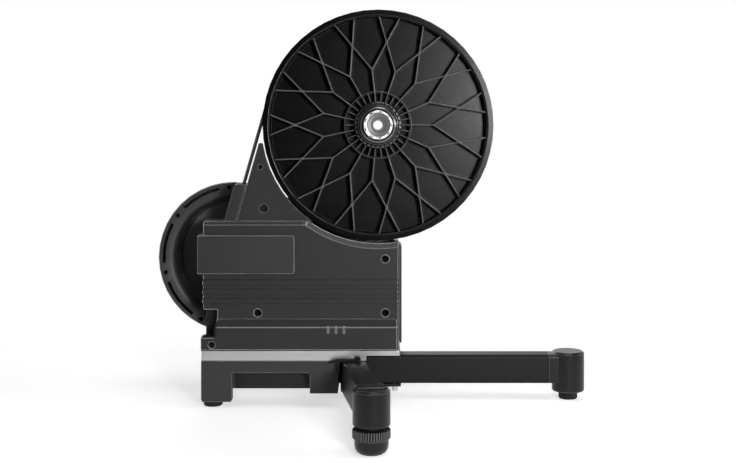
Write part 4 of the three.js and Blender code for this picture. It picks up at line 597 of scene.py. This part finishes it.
@dataclass
class Shell:
    """Vertices and faces in millimetres. Each patch is added by a call that gives the shell."""

    points: list[Array] = field(default_factory=list)
    faces: list[tuple[int, ...]] = field(default_factory=list)
    count: int = 0

    def grid(self, patch: Array, round_trip: bool = False) -> "Shell":
        """Adds a grid of points as one closed skin, turned where it is inside out.

        Quads join neighbouring rows, and each row closes on itself. The first and last row become
        the end faces, unless the rows come back to the start.

        Args:
            patch: points by row, column and axis.
            round_trip: whether the last row joins the first.
        """
        flat = patch.reshape(-1, 3)
        index = np.arange(len(flat)).reshape(patch.shape[:2])
        after = np.roll(index, -1, 0)
        quads = np.stack([index, after, np.roll(after, -1, 1), np.roll(index, -1, 1)], -1)
        ends = []
        if not round_trip:
            quads, ends = quads[:-1], [index[0].tolist(), index[-1, ::-1].tolist()]
        quads = quads.reshape(-1, 4)
        loops = quads.tolist() + ends
        a, b, c, d = (flat[quads[:, k]] - flat.mean(0) for k in range(4))
        if (a * (np.cross(b, c) + np.cross(c, d))).sum() < 0:
            loops = [face[::-1] for face in loops]
        self.faces += [tuple(index + self.count for index in face) for face in loops]
        self.points.append(flat)
        self.count += len(flat)
        return self

    def ring(self, profile: Any, count: int = 96, front: float = 0.0) -> "Shell":
        """Adds a ring about the hub's axis.

        Args:
            profile: its closed profile, rows of radius and place along Y.
            count: steps round the axis.
            front: plane that the places are counted from.
        """
        radius, along = np.asarray(profile, float).T
        skin = turned(radius[:, None], along + front, HUB, count)
        return self.grid(np.swapaxes(skin, 0, 1), round_trip=True)

    def spokes(self, count: int, reach: tuple[float, float], section: Array, front: float,
               points: int = 3, swing: float = 0.0) -> "Shell":
        """Adds straight beads along evenly spaced rays from the hub's axis.

        Args:
            count: number of rays.
            reach: distances from the axis at which a bead starts and ends.
            section: the bead's section.
            front: plane that it stands on.
            points: points along it.
            swing: how far its end is turned off the ray, in degrees.
        """
        steps = np.linspace(0, 1, points)[:, None]
        for ray in np.arange(count) * 360 / count:
            start, end = spot(reach[0], ray), spot(reach[1], ray + swing)
            self.grid(carried(start + (end - start) * steps, section, front))
        return self

    def piece(self, name: str, body: str, finish: Material, smooth: float) -> bpy.types.Object:
        """Makes the object, in metres, and lets it ride on its body.

        Args:
            name: the object's name.
            body: the body that it moves with.
            finish: its material.
            smooth: edges sharper than this, in degrees, stay sharp.

        Returns:
            The object.
        """
        made = placed(name, mesh_of(name, np.concatenate(self.points) * MM, self.faces, finish))
        made.data.shade_smooth()
        made.data.set_sharp_from_angle(angle=math.radians(smooth))
        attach(made, body)
        log.info("piece %s: %d faces on %s", name, len(self.faces), body)
        return made


def mesh_of(name: str, points: Array, faces: list[tuple[int, ...]],
            finish: Material) -> bpy.types.Mesh:
    """Mesh of points in metres and faces, in one material."""
    mesh = bpy.data.meshes.new(name)
    mesh.from_pydata(points.tolist(), [], faces)
    mesh.materials.append(finish)
    return mesh


def placed(name: str, data: bpy.types.ID, place: Any = (0, 0, 0),
           turn: Any = (0, 0, 0)) -> bpy.types.Object:
    """Object of a mesh, lamp or camera, put in the scene."""
    made = bpy.data.objects.new(name, data)
    made.location, made.rotation_euler = place, turn
    bpy.context.scene.collection.objects.link(made)
    return made


def turned(radius: Array, along: Array, axis: Place, count: int) -> Array:
    """Rows of points turned about an axis along Y: x = r cos t + X, z = r sin t + Z.

    Args:
        radius: radii by row and step, or by row and a single column.
        along: each row's place along the axis.
        axis: X and Z of the axis.
        count: steps round it.

    Returns:
        Grid by row, step and axis.
    """
    turn = np.linspace(0, 2 * np.pi, count, endpoint=False)
    return np.stack([axis[0] + radius * np.cos(turn), along[:, None] + 0 * turn,
                     axis[1] + radius * np.sin(turn)], -1)


def rolled(corner: Place, radius: float, side: int) -> Array:
    """Profile of a rounded edge that covers a square corner of a turned solid.

    The arc stands 0.3 of its radius proud of both faces, so that the corner stays under it.

    Args:
        corner: radius and place along Y of the corner, whose front face looks along -Y.
        radius: the arc's radius.
        side: 1 for an outer edge, -1 for the edge of a hollow.

    Returns:
        Closed profile of radius and place along Y.
    """
    lift = 0.3 * radius
    middle = np.array([corner[0] + side * (lift - radius), corner[1] + radius - lift])
    turn = np.linspace(0, np.pi / 2, 6)[:, None]
    arc = middle + radius * np.concatenate([side * np.sin(turn), -np.cos(turn)], -1)
    back = np.array([[corner[0] - side * 0.5 * radius, middle[1] + 0.5 * radius],
                     [middle[0] - side * 0.6 * radius, corner[1] + 0.5 * radius]])
    return np.concatenate([arc, back])


def carried(path: Array, section: Array, front: float, round_trip: bool = False) -> Array:
    """Section carried along a path in the X-Z plane.

    Args:
        path: rows of X and Z.
        section: rows of sizes sideways, square to the path, and towards the viewer.
        front: the plane Y that the section stands on.
        round_trip: whether the path closes on itself.

    Returns:
        Grid by path point, section point and axis.
    """
    if round_trip:
        along = np.roll(path, -1, 0) - np.roll(path, 1, 0)
    else:
        along = np.gradient(path, axis=0)
    along /= np.linalg.norm(along, axis=1, keepdims=True)
    side = np.stack([-along[:, 1], along[:, 0]], -1)
    spread = path[:, None, :] + side[:, None, :] * section[None, :, :1]
    depth = np.broadcast_to(front - section[None, :, 1], spread.shape[:2])
    return np.stack([spread[..., 0], depth, spread[..., 1]], -1)


def half_round(width: float, proud: float, sunk: float = 1.0, steps: int = 8) -> Array:
    """Section of a bead: half an ellipse over a short straight foot."""
    turn = np.linspace(0, np.pi, steps)
    crown = np.stack([width / 2 * np.cos(turn), proud * np.sin(turn)], -1)
    return np.concatenate([[[width / 2, -sunk]], crown, [[-width / 2, -sunk]]])


def spot(radius: float, degrees: float) -> Array:
    """Point in the X-Z plane at a distance and an angle from the hub's axis."""
    turn = math.radians(degrees)
    return np.array([HUB[0] + radius * math.cos(turn), HUB[1] + radius * math.sin(turn)])


# --- Edges and shading ---

SHARP = math.radians(32)  # edges above this angle stay sharp, or are rounded


def shading_by_edge() -> bpy.types.GeometryNodeTree:
    """Node group that shades a mesh smooth except at its sharp edges."""
    tree = bpy.data.node_groups.new("smooth_by_edge", "GeometryNodeTree")
    for way in ("INPUT", "OUTPUT"):
        tree.interface.new_socket("Geometry", in_out=way, socket_type="NodeSocketGeometry")
    shade = Shade(tree=tree)
    faces = shade.node("GeometryNodeSetShadeSmooth", {"Geometry": shade.node("NodeGroupInput")},
                       domain="FACE")
    above = shade.node("FunctionNodeCompare",
                       {0: shade.node("GeometryNodeInputMeshEdgeAngle"), 1: SHARP},
                       data_type="FLOAT", operation="GREATER_THAN")
    edges = shade.node("GeometryNodeSetShadeSmooth", {
        "Geometry": faces, "Selection": above, "Shade Smooth": False}, domain="EDGE")
    shade.node("NodeGroupOutput", {0: edges})
    return tree


def modify(node: bpy.types.Object, name: str, kind: str, **settings: Any) -> None:
    """Adds a modifier with its settings."""
    made = node.modifiers.new(name, kind)
    for key, value in settings.items():
        setattr(made, key, value)


def finish_edges(node: bpy.types.Object, radius: float,
                 group: bpy.types.GeometryNodeTree) -> None:
    """Joins a solid's loose triangles, rounds its sharp edges and shades it.

    Args:
        node: the solid.
        radius: width of the rounding in millimetres, or 0 for none.
        group: the shading node group.
    """
    modify(node, "weld", "WELD", merge_threshold=0.00001)
    if radius:
        modify(node, "flats", "DECIMATE", decimate_type="DISSOLVE", angle_limit=math.radians(0.6))
        modify(node, "edges", "BEVEL", width=radius * MM, segments=2, limit_method="ANGLE",
               angle_limit=SHARP, use_clamp_overlap=True)
    modify(node, "shading", "NODES", node_group=group)
    if radius:
        modify(node, "normals", "WEIGHTED_NORMAL", mode="FACE_AREA", weight=100, keep_sharp=True)


# --- Sub-assemblies ---

@dataclass
class DrivePulley:
    """Ribs' rounded crowns, crossing bosses and hub fins of the drive pulley, in millimetres."""

    ribs: int = 15
    ring: float = 40.4  # middle of the ring round the hub
    split: float = 68.5  # where a rib splits
    wall: float = 133.4  # where its branches end
    spread: float = 17.4  # angle between rib and branch end, in degrees
    front: float = -44.0
    proud: float = 0.8
    boss: float = 1.9
    fin_root: float = 27.8
    rolls: tuple[tuple[Place, float], ...] = (((134.7, -47.0), 0.7), ((133.2, -45.7), 0.6))
    wall_foot: Place = (132.6, -25.0)
    rib_width: float = 1.6
    fin_bead: tuple[float, float] = (1.0, 0.5)  # width and height
    wall_bead: tuple[float, float] = (1.2, 0.6)

    def crowns(self) -> Shell:
        """Half-round beads along every stem and branch."""
        shell = Shell()
        section = half_round(self.rib_width, self.proud)
        for reach, swing in (((self.ring, self.split), 0.0),
                             ((self.split, self.wall), -self.spread),
                             ((self.split, self.wall), self.spread)):
            shell.spokes(self.ribs, reach, section, self.front, 5, swing)
        return shell

    def bosses(self) -> Shell:
        """Small domes where two branches cross: height follows the cosine of the radius."""
        shell = Shell()
        steps = np.linspace(0.08, 1, 6)
        dome = self.front - self.proud - 0.5 * np.cos(steps * np.pi / 2)
        radius = self.boss * np.append(steps, 1)[:, None]
        for rib in range(self.ribs):
            middle = spot(self.crossing(), (rib + 0.5) * 360 / self.ribs)
            shell.grid(turned(radius, np.append(dome, self.front), middle, 14))
        return shell

    def crossing(self) -> float:
        """Distance from the axis at which neighbouring branches cross."""
        half, spread = math.pi / self.ribs, math.radians(self.spread)
        return (self.split * self.wall * math.sin(spread)
                / (self.split * math.sin(half) + self.wall * math.sin(spread - half)))

    def rim_edges(self) -> Shell:
        """Rolled edges of the rim's land and step, and the bead at the foot of its inner wall."""
        shell = Shell()
        for corner, radius in self.rolls:
            shell.ring(rolled(corner, radius, -1), 180)
        return shell.ring(self.wall_foot - half_round(*self.wall_bead), 180)

    def build(self, materials: "dict[Look, Material]") -> None:
        """Makes the pieces: ribs in one finish, rolled edges in two."""
        ring_edge = Shell().ring(rolled((self.ring + 0.9, self.front), 0.8, 1))
        fins = Shell().spokes(2 * self.ribs, (self.fin_root, self.ring),
                              half_round(*self.fin_bead), self.front)
        for name, shell, look in (("rim_edges", self.rim_edges(), Look.EDGE),
                                  ("rib_crowns", self.crowns(), Look.RIB_HIGHLIGHT),
                                  ("ring_edge", ring_edge, Look.LINE),
                                  ("crossing_bosses", self.bosses(), Look.RIB_HIGHLIGHT),
                                  ("hub_fins", fins, Look.RIB_HIGHLIGHT)):
            shell.piece(f"pulley_{name}", "pulley_group", materials[look], 60)


@dataclass
class HubTrim:
    """Turned faces, rings and fin feet seen on the hub's end, in millimetres."""

    lip: float = -50.0  # planes along Y
    face: float = -47.0
    spline_front: float = -68.0
    lip_radius: float = 24.4
    face_radius: float = 28.0
    lip_roll: float = 0.5
    face_roll: float = 1.9
    feet: int = 30
    foot_span: tuple[float, float] = (25.4, 29.0)
    foot_bead: tuple[float, float] = (1.9, 0.5)  # width and height
    # Strips of painted shade in the spline slots: their number, radius, half angle and bead
    slots: int = 9
    slot_place: float = 16.1
    slot_half: float = 6.5  # degrees
    slot_bead: tuple[float, float] = (1.2, 0.1)

    def slot_shade_strips(self) -> Shell:
        """Short dark strips of painted shade in the slots round the end ring of the splined body.
        """
        shell = Shell()
        section = half_round(*self.slot_bead)
        for slot in range(self.slots):
            rays = slot * 360 / self.slots + np.linspace(-self.slot_half, self.slot_half, 7)
            path = np.array([spot(self.slot_place, ray) for ray in rays])
            shell.grid(carried(path, section, self.spline_front - 1.0))
        return shell

    def build(self, materials: "dict[Look, Material]") -> None:
        """Makes the pieces: the lip's pressed ring with its chamfer, the rolled edges of lip and
        face, the fins' feet, the splined body's end ring with strips of painted shade in its slots,
        and the funnelled end cap.
        """
        lip_ring = Shell().ring([[19.6, 0.4], [19.6, -1.5], [19.8, -1.9], [20.2, -2.0],
                                 [20.5, -1.9], [22.2, -0.5], [22.4, -0.2], [22.4, 0.4]],
                                front=self.lip)
        rolls = Shell().ring(rolled((self.lip_radius, self.lip), self.lip_roll, 1))
        rolls.ring(rolled((self.face_radius, self.face), self.face_roll, 1))
        feet = Shell().spokes(self.feet, self.foot_span, half_round(*self.foot_bead),
                              self.face - 0.5)
        spline_end = Shell().ring([[13.7, 0.1], [13.7, -1.1], [14.0, -1.5], [14.6, -1.6],
                                   [15.1, -1.4], [15.3, -1.0], [17.1, -1.0], [17.6, -0.5],
                                   [17.6, 0.1]], front=self.spline_front)
        cap = Shell().ring([[6.0, -68.8], [6.0, -70.2], [6.8, -71.0], [7.7, -71.0], [8.2, -70.5],
                            [8.5, -70.0], [12.7, -70.8], [13.1, -70.8], [13.4, -70.4],
                            [13.4, -66.5], [8.6, -66.5], [8.6, -68.8]])
        for name, body, shell, look, smooth in (
                ("hub_lip_ring", "pulley_group", lip_ring, Look.LIP, 50),
                ("hub_rolled_edges", "pulley_group", rolls, Look.ROLL, 50),
                ("hub_fin_feet", "pulley_group", feet, Look.PULLEY, 50),
                ("spline_end_ring", "freehub", spline_end, Look.BRIGHT, 30),
                ("spline_end_slot_shades", "freehub", self.slot_shade_strips(), Look.BLACK, 50)):
            shell.piece(name, body, materials[look], smooth)
        made = cap.piece("drive_end_cap_face", "trainer_body", materials[Look.CAP], 30)
        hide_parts("drive_end_cap")


@dataclass
class BeltDrive:
    """The belt's pale cord line along its front edge, in millimetres.

    A wheel is its axis and the line's radius round it, below 0 where the belt passes outside.
    """

    wheels: tuple[tuple[Place, float], ...] = ((HUB, 139.1), (IDLER, -10.4), (FLY, 14.9))
    front: float = -44.3
    width: float = 0.7
    proud: float = 0.12

    def path(self) -> Array:
        """Middle of the belt: arcs round the wheels, joined by their tangents."""
        points = []
        last, after = self.wheels[-1:] + self.wheels[:-1], self.wheels[1:] + self.wheels[:1]
        for before, (centre, radius), following in zip(last, self.wheels, after):
            arrive = self.tangent(before, (centre, radius))
            leave = self.tangent((centre, radius), following)
            sweep = (leave - arrive) % (2 * np.pi)
            if radius < 0:
                arrive, sweep = arrive + np.pi, sweep - 2 * np.pi
            turn = arrive + np.linspace(0, sweep, max(4, int(abs(sweep * radius) / 6)))
            points.append(np.stack([centre[0] + abs(radius) * np.cos(turn),
                                    centre[1] + abs(radius) * np.sin(turn)], -1))
        return np.concatenate(points)

    @staticmethod
    def tangent(first: tuple[Place, float], second: tuple[Place, float]) -> float:
        """Normal's direction of the line that leaves one wheel and meets the next."""
        across, up = second[0][0] - first[0][0], second[0][1] - first[0][1]
        return math.atan2(up, across) - math.acos((first[1] - second[1]) / math.hypot(across, up))

    def build(self, finish: Material) -> None:
        """Makes the cord line."""
        section = half_round(self.width, self.proud, 0.05, 4)
        shell = Shell().grid(carried(self.path(), section, self.front, True), round_trip=True)
        shell.piece("belt_cord_line", "trainer_body", finish, 60)


@dataclass
class LevellingGrip:
    """Fluted grip ring of a side leg's foot, in millimetres."""

    place: str
    centre: Place
    low: float = 16.6
    high: float = 26.8
    radius: float = 20.3
    flute: float = 0.9
    flutes: int = 44
    collar: float = 12.0
    collar_top: float = 35.7

    def build(self, finish: Material) -> None:
        """Radius follows a squared-off cosine of the angle, drawn in at the top and bottom."""
        steps = 8 * self.flutes
        turn = np.linspace(0, 2 * np.pi, steps, endpoint=False)
        wave = np.tanh(2.5 * np.cos(self.flutes * turn))
        inset = np.array([0.0, 0.5, 1.2])
        heights = np.append(self.low + inset, self.high - inset[::-1])
        drawn = np.append(inset[::-1], inset)[:, None]
        radius = self.radius - self.flute * (0.5 - 0.5 * wave) - drawn
        collar = np.full((2, 1), self.collar), np.array([self.high - 0.4, self.collar_top])
        shell = Shell()
        for (size, height), count in (((radius, heights), steps), (collar, 32)):
            shell.grid(turned(size, height, self.centre, count)[..., (0, 2, 1)])
        made = shell.piece(f"{self.place}_grip_ring", f"{self.place}_ring", finish, 30)
        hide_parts(f"{self.place}_leg_adjuster_ring")


# --- Studio ---

WHITE: Colour = (1.0, 1.0, 1.0)


@dataclass(frozen=True)
class Lamp:
    """Square soft light, in metres and watts."""

    name: str
    place: Point
    size: float
    power: float

    def build(self, aim: Point) -> None:
        """Puts the lamp in its place, turned to what it lights."""
        data = bpy.data.lights.new(self.name, "AREA")
        data.shape = "SQUARE"
        data.size, data.energy = self.size, self.power
        way = np.subtract(aim, self.place)
        flat = math.hypot(way[0], way[1])
        placed(self.name, data, self.place,
               (math.atan2(flat, -way[2]), 0, math.atan2(-way[0], way[1])))


@dataclass
class Studio:
    """Floor, world, lamps and camera, in metres."""

    eye: Point = (0.0103, -1.484, 0.345)
    lens: float = 57.42
    shift: tuple[float, float] = (-0.0136, -0.1447)
    middle: Point = (-0.02, 0.0, 0.25)  # what the lamps are turned to
    own_white: float = 0.15  # share of the floor's own white near the object
    glow: float = 3.9  # and its strength
    bounce: float = 0.3  # the floor's brightness in bounced light
    room: float = 0.02  # the dim room's brightness
    half: float = 12.0  # half the floor's side
    oval: Point = (0.8, 1.25, 1.0)  # how the floor's reach is stretched
    shadow_reach: tuple[float, float] = (0.32, 0.62)
    mirror_reach: tuple[float, float] = (0.45, 1.1)
    horizon: tuple[float, float] = (-0.05, 0.35)
    lamps: tuple[Lamp, ...] = (
        Lamp("key", (0.45, -1.6, 0.42), 0.25, 15), Lamp("side", (1.6, -0.3, 0.5), 0.4, 8),
        Lamp("top", (0.25, -0.35, 1.9), 0.9, 9), Lamp("fill", (-1.7, -1.2, 0.8), 1.0, 4),
        Lamp("rear", (-0.5, 1.8, 1.2), 1.2, 12))

    def camera(self) -> None:
        """Level camera square on to the drive side, its lens shifted as a product shot has it."""
        data = bpy.data.cameras.new("camera")
        data.lens, data.sensor_width = self.lens, 36.0
        data.shift_x, data.shift_y = self.shift
        data.clip_end = 50.0
        bpy.context.scene.camera = placed("camera", data, self.eye, (math.radians(90), 0, 0))

    def floor(self) -> None:
        """Large plane whose white is its own, so that only the shadow shows on it.

        The share of its own white rises to all of it past a smooth edge round the object. What
        the object itself gets from the floor, as bounced light and in mirror rays, is dimmer.
        """
        shade = Shade("studio_floor")
        dim, paper = (shade.node("ShaderNodeBsdfDiffuse", {"Color": colour})
                      for colour in ((self.bounce,) * 3, WHITE))
        near, far = (shade.node("ShaderNodeEmission", {"Color": WHITE, "Strength": strength})
                     for strength in (self.glow, 1.0))
        across, along, _ = shade.parts(shade.place(stretch=self.oval))
        reach = (across * across + along * along) ** 0.5
        own = shade.mix(shade.ramp(reach, *self.shadow_reach),
                        shade.mix(self.own_white, paper, near), far)
        seen = shade.seen(shade.ramp(reach, *self.mirror_reach, 1.0, 0.0))
        shade.node("ShaderNodeOutputMaterial", {"Surface": shade.mix(seen, dim, own)})
        corners = np.array([(-1, -1, 0), (1, -1, 0), (1, 1, 0), (-1, 1, 0)]) * self.half
        made = placed("studio_floor",
                      mesh_of("studio_floor", corners, [(0, 1, 2, 3)], shade.material))

    def world(self) -> None:
        """White backdrop on the far side, a dim room on the camera's side.

        Camera and glass rays see white all round. Mirror rays see it where their direction has
        +Y in it, by a smooth step, and the dim room elsewhere, which also is the light.
        """
        world = bpy.data.worlds.new("studio")
        bpy.context.scene.world = world
        world.use_nodes = True
        shade = Shade(tree=world.node_tree)
        _, ahead, _ = shade.parts(shade.value("ShaderNodeTexCoord", output="Generated"))
        back, room = (shade.node("ShaderNodeBackground", {"Color": WHITE, "Strength": strength})
                      for strength in (1.0, self.room))
        seen = shade.seen(shade.ramp(ahead, *self.horizon))
        shade.node("ShaderNodeOutputWorld", {"Surface": shade.mix(seen, room, back)})

    def build(self) -> None:
        """Sets the whole studio."""
        bpy.context.scene.view_settings.view_transform = "Standard"
        self.camera()
        self.world()
        self.floor()
        for lamp in self.lamps:
            lamp.build(self.middle)


# --- Dressing ---

class Look(Enum):
    """The trainer's finishes."""

    # Moulded plastics carry painted edge highlights and painted shade in hollows; the ridged cover
    # also carries painted shadow and highlight lines, painted shade windows and a painted highlight
    # on the lip.
    COVER = MouldedPlastic("cover_plastic", grey(46), 0.52, specular=0.3, hollow=14.0)
    SCREW = PlainSteel("screw_black", grey(2), 0.9, metallic=0.0)
    BASE = MouldedPlastic("base_plastic", grey(56), 0.5, specular=0.35, shade_patches=(BASE_RECESS,))
    RIDGED = MouldedPlastic("ridged_plastic", grey(44), 0.52, specular=0.3, edge=200.0,
                            shadow_lines=(*RIDGE_EDGES, PLATE_GAP), highlight_lines=(LEDGE,),
                            shade_patches=(SIDE_NOTCH, BADGE_SHADOW), lip=LIP_BAND)
    BADGE = MouldedPlastic("badge_plastic", grey(52), 0.45, specular=0.35, edge=220.0)
    FOOT = MouldedPlastic("foot_plastic", grey(22), 0.3, depth=0.03, specular=0.28, edge=120.0)
    PULLEY = PulleyPlastic("pulley_nylon", grey(8), 0.28, specular=0.16)
    # Painted highlight: the ribs' crowns, crossing bosses and fins are a much lighter copy of the
    # pulley's dark nylon, for the light on them.
    RIB_HIGHLIGHT = PulleyPlastic("pulley_rib_highlight", grey(96), 0.34, specular=0.5)
    BELT = Rubber("belt_rubber", grey(24), 0.7)
    CORD_LINE = Rubber("belt_cord", grey(96), 0.6)
    CASTING = PaintedMetal("arm_paint", grey(44), 0.45, metallic=0.2)
    FLYWHEEL = CastFlywheel("flywheel_coat", grey(64), 0.42)
    PLATE = BrushedMetal("plate_aluminium", grey(192), 0.36)
    TUBE = PaintedMetal("tube_paint", grey(15), 0.45, coat=0.0, specular=0.22)
    BRIGHT = TurnedMetal("turned_steel", grey(206), 0.34)
    CAP = TurnedMetal("cap_aluminium", grey(110), 0.45, metallic=0.7)
    LIP = TurnedMetal("lip_steel", grey(120), 0.3)
    ROLL = PlainSteel("roll_steel", grey(120), 0.3)
    # Painted highlight: lighter, glossier copies of the pulley's nylon, for the hub ring's rolled
    # edge and the rim's rolled edges and bead.
    LINE = PulleyPlastic("pulley_line", grey(84), 0.3, specular=0.6)
    EDGE = PulleyPlastic("pulley_edge", grey(24), 0.25, specular=0.7)
    DARK_STEEL = PlainSteel("dark_steel", grey(84), 0.4)
    BOLT = PlainSteel("bolt_steel", grey(196), 0.3)
    RUBBER = Rubber("pad_rubber", grey(30), 0.8)
    GRIP = GripRubber("grip_rubber", grey(16), 0.6)
    BLACK = MouldedPlastic("socket_plastic", grey(8), 0.5, edge=30.0)
    LIGHT = LightGuide("light_guide", grey(110), 0.35)
    BOARD = CircuitBoard("board_lacquer", (0.02, 0.09, 0.04), 0.35)


def sides(*kinds: str) -> tuple[str, ...]:
    """Names of the near and the far node of some kinds."""
    return tuple(f"{side}_{kind}" for kind in kinds for side in ("near", "far"))


NODE_LOOKS: dict[Look, tuple[str, ...]] = {
    Look.BADGE: ("badge_plate",),
    Look.RIDGED: ("drive_side_cover",),
    Look.COVER: ("belt_chute", "nip_guard", "far_side_cover"),
    Look.BASE: ("base_housing",),
    Look.SCREW: ("cover_screw_1", "cover_screw_2", "cover_screw_3",
                 *sides("leg_pivot_bolt", "lock_lever_pin")),
    Look.FOOT: ("front_leg_foot", *sides("leg_foot_housing", "leg_levelling_foot")),
    Look.PULLEY: ("drive_pulley",),
    Look.BELT: ("drive_belt",),
    Look.CASTING: ("main_frame", "brake_rail"),
    Look.FLYWHEEL: ("flywheel",),
    Look.PLATE: ("chassis_plate",),
    Look.TUBE: ("front_leg_tube", "leg_bracket", *sides("leg_tube", "lock_lever")),
    Look.BRIGHT: ("freehub_body", "hub_axle", "drive_end_cap", "far_end_cap",
                  "pulley_bearing_near", "pulley_bearing_far"),
    Look.DARK_STEEL: ("flywheel_pulley", "idler_roller", "tensioner_arm",
                      "brake_magnet_carrier", "brake_motor"),
    Look.BOLT: ("flywheel_shaft", "flywheel_bearing_near", "flywheel_bearing_far", "idler_bolt",
                "front_leg_bolt_near", "front_leg_bolt_far"),
    Look.RUBBER: ("hub_seal", "front_leg_pad", "rear_pad_near", "rear_pad_far",
                  *sides("leg_adjuster_ring")),
    Look.BLACK: ("power_socket",),
    Look.LIGHT: ("status_light_guide",),
    Look.BOARD: ("control_board",),
}

# Widths of roundings, in millimetres
ROUNDED_EDGES: dict[float, tuple[str, ...]] = {
    0.9: ("drive_side_cover", "badge_plate", "belt_chute", "base_housing", "far_side_cover",
          "main_frame"),
    0.6: ("nip_guard", "chassis_plate", "front_leg_foot", "front_leg_tube", "leg_bracket",
          *sides("leg_foot_housing", "leg_tube", "lock_lever")),
}


def dress_nodes(materials: dict[Look, Material]) -> None:
    """Gives every carried-over solid its finish, its rounded edges and its shading.

    Args:
        materials: the material of each look.
    """
    group = shading_by_edge()
    radii = {name: radius for radius, names in ROUNDED_EDGES.items() for name in names}
    bare = set(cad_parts)
    for look, names in NODE_LOOKS.items():
        for name in names:
            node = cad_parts[name]
            node.data.materials.clear()
            node.data.materials.append(materials[look])
            finish_edges(node, radii.get(name, 0.0), group)
        bare -= set(names)
    log.info("nodes without a look: %s", sorted(bare))


def main() -> None:
    """Builds the studio, the finishes and each sub-assembly."""
    logging.basicConfig(level=logging.INFO, format="%(name)s: %(message)s")
    Studio().build()
    materials = {look: look.value.material() for look in Look}
    dress_nodes(materials)
    DrivePulley().build(materials)
    HubTrim().build(materials)
    BeltDrive().build(materials[Look.CORD_LINE])
    for place, side in (("near", -1), ("far", 1)):
        centre = (FOOT_AXIS[0], side * FOOT_AXIS[1])
        LevellingGrip(place, centre).build(materials[Look.GRIP])


if __name__ == "__main__":
    main()
